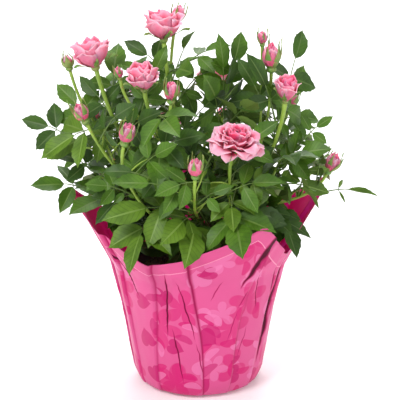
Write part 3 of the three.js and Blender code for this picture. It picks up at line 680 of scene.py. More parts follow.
def compound_leaf(start, tip, leaflets, keys):
    """A stalk that bends once at its knee, pairs of leaflets and one at the end."""
    span = math.dist(start, tip)
    whole = Arch(start, (start + tip) / 2 + UP * LEAF["arch"] * span, tip)
    share = 1 - min(LAST_LEAFLET[leaflets], LONGEST_LEAFLET / span)
    knee, joint = whole.point(share / 2), whole.point(share)
    size = math.dist(tip, joint)
    ahead = unit(tip - joint)
    normal = square_to(facing_at(joint, keys), ahead)
    end = {"base": joint, "ahead": ahead, "normal": normal, "length": size}
    pairs = []
    for row, (place, part) in enumerate(LEAFLET_PAIRS[leaflets]):
        near, far, along = (start, knee, 2 * place) if place < 0.5 else (knee, joint, 2 * place - 1)
        base, run = mix(near, far, along), unit(far - near)
        draws = {hand: chance(*keys, 13 + row * 2 + hand) for hand in (-1, 1)}
        pair = [side_leaflet(base, run, normal, hand, draw, size * part) for hand, draw in draws.items()]
        pairs.append(pair)
    return {"stalk": [start, knee, joint], "end": end, "pairs": pairs}


def place_leaf(leaves, start, tip, leaflets, keys, tone):
    """Keeps a leaf where its stalk, its end leaflet and at least one of its pairs are clear."""
    leaf = compound_leaf(start, tip, leaflets, keys)
    near, knee, joint = leaf["stalk"]
    points = [mix(a, b, t) for a, b in ((near, knee), (knee, joint)) for t in STALK_STEPS]
    points = np.array([*points, joint])
    if not taken.line_is_clear(points, STALK_ROOM, STALK_FREE) or not taken.blade_is_clear(leaf["end"]):
        return False
    leaf["pairs"] = [pair for pair in leaf["pairs"] if all(map(taken.blade_is_clear, pair))]
    if not leaf["pairs"]:
        return False
    leaf["tone"], leaf["keys"] = tone, keys
    taken.add_rod(points, STALK_ROOM)
    taken.add_blades([leaf["end"], *(blade for pair in leaf["pairs"] for blade in pair)])
    leaves.append(leaf)
    return True


def cane_arch(name):
    foot, tip, _ = CANES[name]
    start, end = vec(*foot, SOIL_TOP + GAP), vec(*tip)
    return Arch(start, start + UP * CANE_RISE * (end[2] - start[2]), end)


def bough_arch(name):
    cane, place, tip = BOUGHS[name]
    start, end = cane_arch(cane).point(place), vec(*tip)
    reach = math.dist(start, end)
    crest = (start + end) / 2 + outward_of(end) * BOUGH_BOW * reach - UP * BOUGH_SAG * reach
    return Arch(start, crest, end)


def shoot_arch(start, end, lead):
    """The arch of a shoot, shifted sideways until it is clear of what stands already."""
    run = end - start
    side = unit(vec(-run[1], run[0], 0))
    for sway in SWAY:
        arch = Arch(start, lead + side * sway, end)
        if taken.line_is_clear(arch.points(14), SHOOT_RADII[0], SHOOT_FREE):
            return arch
    return None


def head_of(kind, place, lean, size):
    axis = unit(vec(lean[0], lean[1], 1))
    return {"kind": kind, "size": size, "axis": axis, "foot": vec(*place) - axis * HEADS[kind][2] * size}


def flower_arch(start, head):
    """The arch of a shoot that carries a flower head."""
    foot = head["foot"]
    arch = shoot_arch(start, foot, foot - head["axis"] * SHOOT_LEAD * math.dist(start, foot))
    taken.heads.append(head)
    return arch


def leafy_arch(mass, start, tip, i):
    """The arch of a shoot that carries no flower; the leaf at its end is kept for later."""
    number, reach = mass["number"], math.dist(start, tip)
    span = min(mix(*LEAF["span"], chance(number, i, 2)), reach * LEAFY_END["longest"])
    end = mix(tip, start, span / reach) + UP * LEAFY_END["lift"] * span
    mass["singles"].append((end, tip, 3 if chance(number, i, 3) < 0.5 else 5, i))
    return shoot_arch(start, end, (start + end) / 2 + UP * SHOOT_RISE * reach)


def grow_shoots(number, name):
    """The shoots of one mass: the first is its stem, and the others fork off that."""
    on, rows = MASSES[name]
    mass = {"number": number, "shoots": [], "singles": [], "leaves": []}
    foot = limbs[on].point(1) + limbs[on].run(1) * GAP
    for i, (kind, *row) in enumerate(rows):
        stem = mass["shoots"][0]["arch"] if mass["shoots"] else None
        if kind == "leaf":
            tip, place, leaflets = row
            mass["singles"].append((stem.point(place), vec(*tip), leaflets, i))
            continue
        fork = FORK_FROM + FORK_STEP * (i - 1 + 0.5 * chance(number, i, 1))
        start = stem.point(fork) if stem else foot
        if kind == "leafy":
            arch, until = leafy_arch(mass, start, vec(*row[0]), i), LEAF["to"]
        else:
            arch, until = flower_arch(start, head_of(kind, *row[:3])), LEAF["to_below_head"]
        if arch:
            radii = [radius * (SIDE_SHOOT if stem else 1) for radius in SHOOT_RADII]
            shoot = {"arch": arch, "radii": radii, "neck": NECKS[kind], "i": i}
            mass["shoots"].append(shoot | {"leaves": row[-1], "until": until})
            taken.add_rod(arch.points(10), radii[0])
    return mass


def tone_at(tip, keys):
    """The tone of a leaf's green: lighter low at the front, darker inside and behind."""
    draw = chance(*keys, 21)
    if tip[2] > TONE_EDGES["top"]:
        return "mid" if draw < TONE["mid_at_top"] else "dark"
    light = TONE["light"]
    if tip[2] < TONE_EDGES["low"]:
        light += TONE["low_front"] * (tip[1] < TONE_EDGES["front"])
        light += TONE["low_outside"] * (math.hypot(tip[0], tip[1]) > TONE_EDGES["outside"])
    if draw < light:
        return "light"
    return "mid" if draw < light + TONE["mid"] else "dark"


def grow_singles(mass):
    """The leaves whose tips are named, each moved a little where it is not clear."""
    for start, tip, leaflets, i in mass["singles"]:
        for forward, up, count in SHIFTS:
            moved = tip + vec(0, forward, up)
            keys = (mass["number"], i, 99 + up)
            if place_leaf(mass["leaves"], start, moved, count or leaflets, keys, tone_at(tip, keys)):
                break


def grow_leaf(mass, shoot, k):
    """One leaf of a shoot, at the first of a few aims that is clear."""
    number, arch, i = mass["number"], shoot["arch"], shoot["i"]
    keys = (number, i, k)
    place = mix(LEAF["from"], shoot["until"], (k + LEAF["stray"] * chance(*keys, 4)) / shoot["leaves"])
    start = arch.point(place)
    leaflets = 3 if chance(*keys, 5) < LEAF["three_share"] else 5
    for attempt in range(LEAF["tries"]):
        turn = math.radians(LEAF["turn"] * k + 360 * chance(number, i, 6) + LEAF["next_turn"] * attempt)
        aim = aim_off(arch, place, turn, LEAF["outward"], LEAF["lift"])
        late = LEAF["late_size"] if attempt >= LEAF["full_tries"] else 1
        span = mix(*LEAF["span"], chance(*keys, 7)) * late
        tip = start + aim * span - UP * LEAF["droop"] * span
        if inside_crown(tip):
            if place_leaf(mass["leaves"], start, tip, leaflets, keys, tone_at(tip, keys)):
                break


def grow_twig(mass, arch, place, keys):
    """A short side twig with a leaf at its end, at the first of a few aims that is clear."""
    start, radii = arch.point(place), TWIG["radii"]
    for attempt in range(TWIG["tries"]):
        turn = FULL_TURN * chance(*keys, 31, attempt)
        aim = aim_off(arch, place, turn, TWIG["outward"], TWIG["lift"])
        reach = mix(*TWIG["length"], chance(*keys, 32))
        end = start + aim * reach
        twig = Arch(start, (start + end) / 2 + UP * TWIG["bow"] * reach, end)
        tip = end + unit(aim - UP * TWIG["hang"]) * mix(*TWIG["span"], chance(*keys, 33))
        if not inside_crown(tip) or not taken.line_is_clear(twig.points(5), radii[0], TWIG["free"]):
            continue
        leaflets = 3 if chance(*keys, 34) < TWIG["three_share"] else 5
        if place_leaf(mass["leaves"], end, tip, leaflets, keys, tone_at(tip, keys)):
            mass["shoots"].append({"arch": twig, "radii": radii, "neck": radii[1]})
            taken.add_rod(twig.points(5), radii[0])
            break


def grow_twigs(mass):
    """Side twigs between the leaves of each shoot."""
    for shoot in mass["shoots"][:]:
        arch = shoot["arch"]
        places = TWIG["places"] if arch.length() > TWIG["short_shoot"] else TWIG["few_places"]
        for k, place in enumerate(places):
            grow_twig(mass, arch, place, (mass["number"], shoot["i"], 40 + k))


def grow_inner_leaves(number, arch, leaves, plan):
    """Leaves that stand on a cane or a bough and fill the middle of the bush."""
    for k, place in enumerate(plan["places"]):
        for attempt in range(plan["tries"]):
            keys = (number, k, 60 + attempt)
            aim = aim_off(arch, place, FULL_TURN * chance(*keys, 41), plan["outward"], plan["lift"])
            span = mix(*plan["span"], chance(*keys, 42))
            start = arch.point(place)
            tip = start + aim * span - UP * plan["droop"] * span
            if inside_crown(tip, plan["low"]):
                leaflets = 3 if chance(*keys, 43) < 0.5 else 5
                tone = "dark" if place < plan["dark_below"] else tone_at(tip, keys)
                if place_leaf(leaves, start, tip, leaflets, keys, tone):
                    break


limbs = {name: cane_arch(name) for name in CANES} | {name: bough_arch(name) for name in BOUGHS}
for name, arch in limbs.items():
    steps, radius = (12, CANES[name][2][0]) if name in CANES else (8, BOUGH_RADII[0])
    taken.add_rod(arch.points(steps), radius)
masses = [grow_shoots(number, name) for number, name in enumerate(MASSES)]
for mass in masses:
    grow_singles(mass)
for mass in masses:
    for shoot in mass["shoots"]:
        for k in range(shoot["leaves"]):
            grow_leaf(mass, shoot, k)
for mass in masses:
    grow_twigs(mass)
inner_leaves = []
for first_number, plan in ((100, INNER), (130, FILLING)):
    for number, arch in enumerate(limbs.values(), first_number):
        grow_inner_leaves(number, arch, inner_leaves, plan)
all_leaves = [leaf for mass in masses for leaf in mass["leaves"]] + inner_leaves


# ------------------------------------------------------------------ joined meshes

OWN_MAP = "own_place"  # how far across and along its own leaflet or petal a point lies


class Heap:
    """Many small shapes, kept as arrays, that become one mesh."""

    def __init__(self):
        self.points, self.faces, self.marks, self.places, self.count = [], [], [], [], 0

    def add(self, points, faces, marks=0, places=None):
        self.points.append(points)
        self.faces.append(faces + self.count)
        self.marks.append(np.broadcast_to(np.asarray(marks, np.int32), (len(faces),)))
        self.places.append(np.zeros((len(points), 2)) if places is None else places)
        self.count += len(points)

    def piece(self, name, materials):
        points, faces = np.concatenate(self.points) * MM, np.concatenate(self.faces)
        mesh = bpy.data.meshes.new(name)
        mesh.vertices.add(len(points))
        mesh.vertices.foreach_set("co", points.astype(np.float32).ravel())
        mesh.loops.add(faces.size)
        mesh.loops.foreach_set("vertex_index", faces.astype(np.int32).ravel())
        mesh.polygons.add(len(faces))
        width = faces.shape[1]
        mesh.polygons.foreach_set("loop_start", np.arange(0, faces.size, width, dtype=np.int32))
        mesh.polygons.foreach_set("material_index", np.concatenate(self.marks).astype(np.int32))
        own_map = mesh.uv_layers.new(name=OWN_MAP)
        corners = np.concatenate(self.places)[faces.ravel()]
        own_map.data.foreach_set("uv", corners.astype(np.float32).ravel())
        mesh.update(calc_edges=True)
        mesh.shade_smooth()
        mesh.validate()
        return new_piece(name, mesh, materials)


def new_piece(name, mesh, materials):
    piece = bpy.data.objects.new(name, mesh)
    bpy.context.scene.collection.objects.link(piece)
    for material in materials:
        mesh.materials.append(material)
    return piece


def finished(bm, name, materials, scale=MM, smooth=True):
    """Turns a bmesh in millimetres into a piece in metres."""
    bmesh.ops.scale(bm, vec=(scale,) * 3, verts=bm.verts)
    mesh = bpy.data.meshes.new(name)
    bm.to_mesh(mesh)
    bm.free()
    if smooth:
        mesh.shade_smooth()
    return new_piece(name, mesh, materials)


def as_arrays(bm):
    """A small bmesh as points, triangles and the triangles' materials."""
    bmesh.ops.triangulate(bm, faces=bm.faces[:])
    bm.verts.index_update()
    points = np.array([v.co for v in bm.verts])
    faces = np.array([[v.index for v in face.verts] for face in bm.faces])
    marks = np.array([face.material_index for face in bm.faces])
    bm.free()
    return points, faces, marks


def tube(heap, points, radii, sides):
    """A round tube along points, closed at both ends."""
    points = np.asarray(points, float)
    count = len(points)
    runs = np.gradient(points, axis=0)
    side = np.cross(runs[0], ASIDE)
    angles = np.arange(sides) * FULL_TURN / sides
    rings = []
    for point, run, radius in zip(points, runs, radii):
        run = unit(run)
        side = unit(side - run * (side @ run))
        other = np.cross(run, side)
        rings.append(point + radius * (np.outer(np.cos(angles), side) + np.outer(np.sin(angles), other)))
    body = np.concatenate([*rings, points[:1], points[-1:]])
    faces = []
    for i in range(count - 1):
        for j in range(sides):
            a, b = i * sides + j, i * sides + (j + 1) % sides
            faces += [(a, b, b + sides), (a, b + sides, a + sides)]
    first, last = count * sides, count * sides + 1
    top = (count - 1) * sides
    for j in range(sides):
        k = (j + 1) % sides
        faces += [(first, k, j), (last, top + j, top + k)]
    heap.add(body, np.array(faces))



# ------------------------------------------------------------------ leaves

LEAFLET_ROWS = 11
LEAFLET_ACROSS = (-1, -0.08, 0.08, 1)  # the midrib is the narrow strip in the middle
HALF_WIDTH = 0.29  # of a leaflet, as a share of its length
FOOT_ROUNDNESS, TIP_DRAWN_OUT = 0.62, 1.28
TOOTH_OUT, TOOTH_AHEAD = 0.035, 0.01
SIDE_SWEEP = 0.05  # how far a leaflet's sides run ahead of its midrib
WAVES = 9


def leaflet_outline(s):
    """Half the width of a leaflet at a share of its length: egg-shaped with a drawn-out tip."""
    widest = LEAFLET["widest"]
    if s < widest:
        return math.sin(math.pi / 2 * s / widest) ** FOOT_ROUNDNESS
    return math.cos(math.pi / 2 * (s - widest) / (1 - widest)) ** TIP_DRAWN_OUT


def leaflet_template(fold, droop, wave, twist):
    """A leaflet one unit long, folded along its midrib, with toothed edges."""
    bm = bmesh.new()
    across = len(LEAFLET_ACROSS) - 1
    spread = bm.verts.layers.float.new("across")
    bmesh.ops.create_grid(bm, x_segments=across, y_segments=LEAFLET_ROWS, size=1)
    for face in bm.faces:
        face.material_index = int(abs(face.calc_center_median().x) < 0.1)
    for v in bm.verts:
        h = LEAFLET_ACROSS[round((v.co.x + 1) / 2 * across)]
        row = round((v.co.y + 1) / 2 * LEAFLET_ROWS)
        s = row / LEAFLET_ROWS
        tooth = (1 if row % 2 else -1) * (abs(h) == 1)
        half = HALF_WIDTH * leaflet_outline(s) * (1 + TOOTH_OUT * tooth)
        inside = 4 * s * (1 - s)
        along = s + (SIDE_SWEEP * abs(h) + TOOTH_AHEAD * tooth) * inside
        z = (fold * half + wave * math.sin(WAVES * s + 2 * h) * inside) * abs(h) - droop * s**2
        turn = twist * s
        v.co = (h * half * math.cos(turn), along, z + h * half * math.sin(turn))
        v[spread] = abs(h) * half
    bmesh.ops.remove_doubles(bm, verts=bm.verts, dist=0.004)
    bmesh.ops.dissolve_degenerate(bm, edges=bm.edges, dist=1e-5)
    places = np.array([(v[spread], v.co.y) for v in bm.verts])
    return *as_arrays(bm), places


# fold, droop, wave and twist of each
LEAFLET_TEMPLATES = [
    leaflet_template(0.32, 0.1, 0.02, 0.1),
    leaflet_template(0.2, 0.18, 0.03, -0.2),
    leaflet_template(0.45, 0.15, 0.015, 0.25),
    leaflet_template(0.12, 0.26, 0.035, 0),
    leaflet_template(0.28, 0.04, 0.03, -0.3),
]
LEAFLET_WIDTHS = (0.78, 1.06)
LEAFLET_TILT = 0.5
LEAFLET_GROWTH = 1.16  # leaflets close the gaps that the rule's room leaves between them
END_GROWTH = 1.08
PAIR_SAG = 0.2  # how far the side leaflets hang
WISP = (11, 1, 99)  # the keys of the thin leaf that reaches furthest to the right
WISP_WIDTH = 0.42
WISP_PAIR = 0.55
# how much of a leaflet's foot is bare stalk, and how far the stalk runs on under it
END_FOOT, END_RUN = 2, 4
PAIR_FOOT, PAIR_RUN = 1.5, 3
STALK_RADII = (0.85, 0.4)
PAIR_STALK_RADII = (0.42, 0.3)
STIPULE = {"length": 9, "spread": 0.32, "width": 0.55}


def add_blade(heap, blade, keys, width=1.0, size=1.0):
    """Puts a leaflet where the rule says, with a template and a tilt of its own."""
    points, faces, marks, places = LEAFLET_TEMPLATES[int(chance(*keys, 51) * len(LEAFLET_TEMPLATES))]
    ahead, normal = blade["ahead"], blade["normal"]
    tilt = LEAFLET_TILT * (chance(*keys, 52) - 0.5)
    normal = unit(normal + np.cross(ahead, normal) * tilt)
    length = blade["length"] * size
    wide = length * width * mix(*LEAFLET_WIDTHS, chance(*keys, 53))
    placed = points * (wide, length, length)
    axes = np.stack([np.cross(ahead, normal), ahead, normal])
    heap.add(placed @ axes + blade["base"], faces, marks, places)


def add_leaf(leaf_heap, stalk_heap, leaf):
    """The leaflets of a leaf, the stalks that carry them and the stipules at its foot."""
    keys, end = leaf["keys"], leaf["end"]
    width, pair_size = (WISP_WIDTH, WISP_PAIR) if keys == WISP else (1, LEAFLET_GROWTH)
    near, knee, joint = leaf["stalk"]
    arch = Arch(near, 2 * knee - (near + joint) / 2, joint)
    drawn = end | {"base": joint + end["ahead"] * END_FOOT, "length": end["length"] - END_FOOT}
    add_blade(leaf_heap, drawn, (*keys, 1), width, END_GROWTH)
    for n, pair in enumerate(leaf["pairs"]):
        for m, blade in enumerate(pair):
            base, run = blade["base"], blade["ahead"]
            ahead = unit(run - UP * PAIR_SAG)
            drawn = {"base": base + run * PAIR_FOOT, "length": blade["length"] - PAIR_FOOT}
            drawn |= {"ahead": ahead, "normal": square_to(blade["normal"], ahead)}
            add_blade(leaf_heap, drawn, (*keys, 2 + 2 * n + m), width, pair_size)
            tube(stalk_heap, [base, base + run * PAIR_RUN], PAIR_STALK_RADII, 4)
    points = [*arch.points(6), joint + end["ahead"] * END_RUN]
    tube(stalk_heap, points, np.linspace(*STALK_RADII, len(points)), 5)
    add_stipules(leaf_heap, arch, end["normal"], keys)


def add_stipules(heap, arch, normal, keys):
    """The two narrow wings at the foot of a leaf's stalk."""
    run = arch.run(0)
    side = unit(np.cross(normal, run))
    for hand in (-1, 1):
        ahead = unit(run + side * hand * STIPULE["spread"])
        blade = {"base": arch.point(0), "ahead": ahead, "length": STIPULE["length"]}
        blade["normal"] = square_to(normal, ahead)
        add_blade(heap, blade, (*keys, 70 + hand), STIPULE["width"])


# ------------------------------------------------------------------ shoots and bark

WAVER = {"far": 1.2, "wave": 28}
SHOOT_STEP = 7
SHOOT_NODE = 0.16  # how much thicker every fourth ring of a shoot is
NECK_CURVE = 1.6
PRICKLE_LONG, PRICKLE_HOOK = 1.7, 0.55
PRICKLE_SINK = 0.8
PRICKLE_SIZES = (0.7, 1.2)
BARK = {
    "ring_step": 2.2,
    "ridges": (0.09, 3, 9),
    "lumps": (0.07, 1, 3.2),
    "node_step": 16,
    "node_width": 1.6,
    "node": 0.1,
}


def wavering(arch, count, keys):
    """Points along an arch that waver a little, as a living shoot does, but keep to its ends."""
    points = arch.points(count)
    shift = np.array([chance(*keys, 61 + n) for n in range(3)]) * 20
    for i in range(1, count):
        sway = noise.noise_vector(Vector(points[i] / WAVER["wave"] + shift))
        points[i] += np.array(sway) * WAVER["far"] * math.sin(math.pi * i / count)
    return points


def add_shoot(heap, shoot, keys):
    """A round shoot with nodes, which thickens to its neck below a flower."""
    arch = shoot["arch"]
    count = max(4, round(arch.length() / SHOOT_STEP))
    rings = range(count + 1)
    slim = [mix(*shoot["radii"], i / count) * (1 + SHOOT_NODE * (i % 4 == 2)) for i in rings]
    thick = [mix(slim[i], shoot["neck"], (i / count) ** NECK_CURVE) for i in rings]
    tube(heap, wavering(arch, count, keys), thick, 7)


def upright_edges(edges):
    """The long edges of a fresh cone one unit high."""
    return [e for e in edges if abs(e.verts[0].co.z - e.verts[1].co.z) > 0.5]


def prickle_template():
    """A small hooked cone, one unit high, with a flattened foot."""
    bm = bmesh.new()
    bmesh.ops.create_cone(bm, cap_ends=True, segments=6, radius1=0.42, radius2=0.02, depth=1)
    bmesh.ops.subdivide_edges(bm, edges=upright_edges(bm.edges), cuts=1)
    for v in bm.verts:
        climb = v.co.z + 0.5
        v.co.y = v.co.y * PRICKLE_LONG - PRICKLE_HOOK * climb**2
        v.co.z = climb
    return as_arrays(bm)


PRICKLE = prickle_template()


def add_prickles(heap, arch, radii, spacing, size, keys):
    """Prickles that turn round a shoot and point a little down it."""
    points, faces, _ = PRICKLE
    count = int(arch.length() / spacing)
    for k in range(count):
        t = (k + 0.3 + 0.5 * chance(*keys, k, 71)) / count
        run = arch.run(t)
        side, rise = arch.across(t)
        turn = FULL_TURN * chance(*keys, k, 72)
        out = side * math.cos(turn) + rise * math.sin(turn)
        tall = size * mix(*PRICKLE_SIZES, chance(*keys, k, 73))
        foot = arch.point(t) + out * mix(*radii, t) * PRICKLE_SINK
        heap.add(points * tall @ np.stack([np.cross(run, out), run, out]) + foot, faces)


def bark_relief(angle, along, shift):
    """How far bark stands out at a place, as a share of the limb's radius."""
    relief = 0.0
    for high, tight, long in (BARK["ridges"], BARK["lumps"]):
        spot = Vector((tight * math.cos(angle), tight * math.sin(angle), along / long))
        relief += high * noise.noise(spot + shift)
    from_node = along % BARK["node_step"] - BARK["node_step"] / 2
    return relief + BARK["node"] * math.exp(-(from_node**2) / BARK["node_width"])


def bark_limb(bm, arch, radii, flare, sides, keys):
    """One tapering limb with rings at its nodes and fine ridges along its bark."""
    length = arch.length()
    others = set(bm.verts)
    made = bmesh.ops.create_cone(bm, cap_ends=True, segments=sides, radius1=1, radius2=1, depth=1)
    upright = upright_edges({e for v in made["verts"] for e in v.link_edges})
    cuts = max(3, round(length / BARK["ring_step"]))
    bmesh.ops.subdivide_edges(bm, edges=upright, cuts=cuts, use_grid_fill=True)
    shift = Vector([chance(*keys, 81 + n) * 30 for n in range(3)])
    for v in set(bm.verts) - others:
        t = min(1, max(0, v.co.z + 0.5))
        angle = math.atan2(v.co.y, v.co.x)
        side, rise = arch.across(t)
        radius = mix(*radii, t) + flare * math.exp(-FLARE_FADE * t)
        out = side * math.cos(angle) + rise * math.sin(angle)
        v.co = Vector(arch.point(t) + out * radius * (1 + bark_relief(angle, t * length, shift)))


# ------------------------------------------------------------------ blooms and buds

PETAL_GRID = 6
# Rings of petals from the heart out: how many, half the angle of each, the radius and height of
# its foot and of its rim, its belly, how far its rim rolls out, and its tone. All are shares of size.
PETAL_RINGS = {
    "bud": [
        (2, 120, (0.03, 0.2), (0.03, 0.98), 0.14, 0, 0),
        (3, 85, (0.06, 0.18), (0.08, 0.95), 0.17, 0.02, 0),
        (4, 62, (0.09, 0.14), (0.14, 0.9), 0.2, 0.03, 1),
    ],
    "closed": [
        (2, 120, (0.03, 0.2), (0.04, 0.8), 0.15, 0, 0),
        (3, 80, (0.06, 0.18), (0.07, 0.76), 0.16, 0.01, 1),
    ],
    "half": [
        (3, 110, (0.02, 0.2), (0.07, 0.9), 0.1, 0, 0),
        (4, 85, (0.05, 0.16), (0.17, 0.93), 0.15, 0.02, 0),
        (4, 66, (0.08, 0.14), (0.27, 0.9), 0.16, 0.05, 1),
        (4, 56, (0.1, 0.12), (0.37, 0.78), 0.15, 0.1, 2),
    ],
    "bloom": [
        (3, 110, (0.02, 0.16), (0.05, 0.68), 0.06, 0, 0),
        (4, 80, (0.03, 0.16), (0.11, 0.73), 0.1, 0.01, 0),
        (4, 66, (0.05, 0.14), (0.18, 0.77), 0.13, 0.03, 1),
        (4, 60, (0.07, 0.13), (0.25, 0.76), 0.16, 0.05, 1),
        (4, 56, (0.08, 0.12), (0.33, 0.68), 0.17, 0.07, 2),
        (4, 52, (0.09, 0.1), (0.39, 0.56), 0.16, 0.08, 2),
    ],
    "rosette": [
        (3, 110, (0.01, 0.14), (0.03, 0.42), 0.03, 0, 0),
        (4, 80, (0.02, 0.14), (0.08, 0.46), 0.04, 0.01, 0),
        (5, 56, (0.03, 0.13), (0.14, 0.49), 0.06, 0.02, 0),
        (6, 46, (0.04, 0.12), (0.2, 0.47), 0.08, 0.04, 1),
        (7, 38, (0.05, 0.11), (0.27, 0.43), 0.09, 0.06, 1),
        (7, 35, (0.06, 0.1), (0.34, 0.37), 0.1, 0.07, 2),
        (7, 33, (0.06, 0.09), (0.4, 0.29), 0.1, 0.08, 2),
        (6, 32, (0.06, 0.08), (0.44, 0.2), 0.09, 0.07, 2),
    ],
}
# the sepals: how many, half the angle, foot, rim, belly and roll
SEPAL_RINGS = {
    "bud": (5, 58, (0.12, 0.12), (0.3, 1.08), 0.17, 0.04),
    "closed": (5, 84, (0.13, 0.12), (0.05, 1.0), 0.23, 0.02),
    "half": (5, 50, (0.1, 0.13), (0.42, 0.56), 0.14, 0.1),
    "bloom": (5, 38, (0.08, 0.1), (0.46, 0.34), 0.1, 0.08),
    "rosette": (5, 34, (0.07, 0.08), (0.4, 0.14), 0.06, 0.08),
}
GOLDEN = 137.5
HEAD_LIFT = 0.5  # a rosette faces up more than its stem does
RUFFLES = {"bud": 0.8, "closed": 0.6, "half": 1.3, "bloom": 1.6, "rosette": 1}
PETAL_JITTER = 0.35
RIM_LIFT = 0.16  # how much the height of a petal's rim varies
PETAL_LEAN = 0.1
RUFFLE, RIM_RUFFLE = 0.018, 0.07  # waves of a rim: for any petal, and more for a wide one
RUFFLE_WAVES, SIDE_WAVES = 4.3, 5.1
CORNER_DROP, CORNER_POWER = 0.2, 2.2
PETAL_POINT, POINT_WIDTH = 0.05, 2.5
CURL_FROM, CURL_DROP = 0.62, 0.75
PETAL_OVERLAP = 0.02
OPENING, BELLYING, CLIMBING = 1.25, 0.8, 0.85  # powers of the way from a petal's foot to its rim
WAVE_STRENGTHS = (0.6, 1.4)
FOOT_WIDTH = 0.45  # the width of a petal's foot, as a share of its full width
FULL_WIDTH_AT = 1.5
POINTED = 0.97
SEPAL_TAPER = 1.9
SEPAL_STRAY = 0.4
SEPAL_LENGTHS, SEPAL_WIDTHS = (0.91, 1.21), (0.9, 1.15)
HIP_PROFILE = [(0.26, 0), (0.4, 0.12), (0.52, 0.35), (0.5, 0.62), (0.4, 0.82), (0.56, 1.0)]
HIP_SIZES = {"bud": (0.34, 0.24), "closed": (0.36, 0.26), "bloom": (0.2, 0.18)}  # width and height
HEAD_ASIDE = vec(0.2, 0.9, 0.1)  # a direction that no head leans along


def sheet_faces(columns, rows):
    """The triangles of a grid of points with the given numbers of faces across and up."""
    a = (np.arange(rows)[:, None] * (columns + 1) + np.arange(columns)[None]).ravel()
    b, c, d = a + 1, a + columns + 2, a + columns + 1
    return np.concatenate([np.stack([a, b, c], 1), np.stack([a, c, d], 1)])


PETAL_FACES = sheet_faces(PETAL_GRID, PETAL_GRID)
PETAL_STEPS = np.arange(PETAL_GRID + 1) / PETAL_GRID
PETAL_UP, PETAL_ACROSS = (
    part.ravel() for part in np.meshgrid(PETAL_STEPS, 2 * PETAL_STEPS - 1, indexing="ij")
)
PETAL_PLACES = np.stack([abs(PETAL_ACROSS), PETAL_UP], axis=1)


def head_axes(head, keys):
    """Two directions square to a head's axis, turned by chance, and the axis."""
    axis = unit(head["axis"] + UP * HEAD_LIFT * (head["kind"] == "rosette"))
    side = unit(np.cross(axis, HEAD_ASIDE))
    turn = FULL_TURN * chance(*keys, 91)
    side = side * math.cos(turn) + np.cross(axis, side) * math.sin(turn)
    return np.stack([side, np.cross(axis, side), axis])


def petal(foot, rim, belly, roll, half, turn, keys, ruffle, taper=0):
    """A cupped petal's points, as shares of size: it narrows at its foot and its rim rolls out."""
    u, v = PETAL_ACROSS, PETAL_UP
    lift = 1 + RIM_LIFT * ruffle * (chance(*keys, 92) - 0.5)
    lean = PETAL_LEAN * (chance(*keys, 93) - 0.5)
    wave = ruffle * (RUFFLE + RIM_RUFFLE * rim[0]) * mix(*WAVE_STRENGTHS, chance(*keys, 100))
    phase = 9 * chance(*keys, 94)
    point = PETAL_POINT * np.maximum(0, 1 - POINT_WIDTH * abs(u)) * (taper == 0)
    reach = v * (1 - CORNER_DROP * abs(u) ** CORNER_POWER + point)
    late = np.maximum(0, reach - CURL_FROM) / (1 - CURL_FROM)
    radius = mix(foot[0], rim[0], reach**OPENING) + belly * np.sin(math.pi * reach**BELLYING)
    radius += roll * late**2 + lean * reach + PETAL_OVERLAP * u * reach
    radius += wave * np.cos(SIDE_WAVES * u + 2 * phase) * reach**3
    height = mix(foot[1], rim[1] * lift, reach**CLIMBING) - roll * CURL_DROP * late**3
    height += wave * np.sin(RUFFLE_WAVES * u + phase) * reach**3
    wide = mix(FOOT_WIDTH, 1, np.sin(math.pi / 2 * np.minimum(1, v * FULL_WIDTH_AT)))
    angle = turn + u * math.radians(half) * wide * (1 - POINTED * v) ** taper
    return np.stack([radius * np.cos(angle), radius * np.sin(angle), height], axis=1)


def add_bloom(petals, greens, head, keys):
    """The petals of a head from its heart out, and its calyx."""
    kind, size = head["kind"], head["size"]
    axes = head_axes(head, keys)
    turn = 0.0
    for n, (count, half, foot, rim, belly, roll, tone) in enumerate(PETAL_RINGS[kind]):
        for k in range(count):
            turn += FULL_TURN / count
            aim = turn + PETAL_JITTER * (chance(*keys, n, k, 95) - 0.5)
            shape = petal(foot, rim, belly, roll, half, aim, (*keys, n, k), RUFFLES[kind])
            petals.add(shape * size @ axes + head["foot"], PETAL_FACES, tone, PETAL_PLACES)
        turn += math.radians(GOLDEN)
    add_calyx(greens, head, axes, keys)


def lathed(profile, steps):
    """A bmesh turned from a profile of radii and heights."""
    bm = bmesh.new()
    verts = [bm.verts.new((radius, 0, height)) for radius, height in profile]
    edges = [bm.edges.new(pair) for pair in zip(verts, verts[1:])]
    turn = {"cent": (0, 0, 0), "axis": (0, 0, 1), "angle": FULL_TURN}
    bmesh.ops.spin(bm, geom=verts + edges, steps=steps, use_merge=True, **turn)
    return bm


def hip_template():
    """The green cup under a flower, one unit wide and one high."""
    bm = lathed(HIP_PROFILE, 10)
    bmesh.ops.holes_fill(bm, edges=[e for e in bm.edges if e.is_boundary])
    bmesh.ops.recalc_face_normals(bm, faces=bm.faces[:])
    return as_arrays(bm)


HIP = hip_template()


def add_calyx(greens, head, axes, keys):
    """The cup under a head and its five sepals."""
    size, foot = head["size"], head["foot"]
    points, faces, _ = HIP
    bulk, tall = (size * share for share in HIP_SIZES.get(head["kind"], HIP_SIZES["bloom"]))
    greens.add(points * (bulk, bulk, tall) @ axes + foot, faces)
    count, half, base, rim, belly, roll = SEPAL_RINGS[head["kind"]]
    for k in range(count):
        angle = FULL_TURN * (k + SEPAL_STRAY * chance(*keys, k, 96)) / count
        long, wide = mix(*SEPAL_LENGTHS, chance(*keys, k, 97)), mix(*SEPAL_WIDTHS, chance(*keys, k, 98))
        tip = (rim[0] * wide, rim[1] * long)
        shape = petal(base, tip, belly, roll, half, angle, (*keys, k, 99), 1, SEPAL_TAPER)
        greens.add(shape * size @ axes + foot, PETAL_FACES)


# ------------------------------------------------------------------ materials


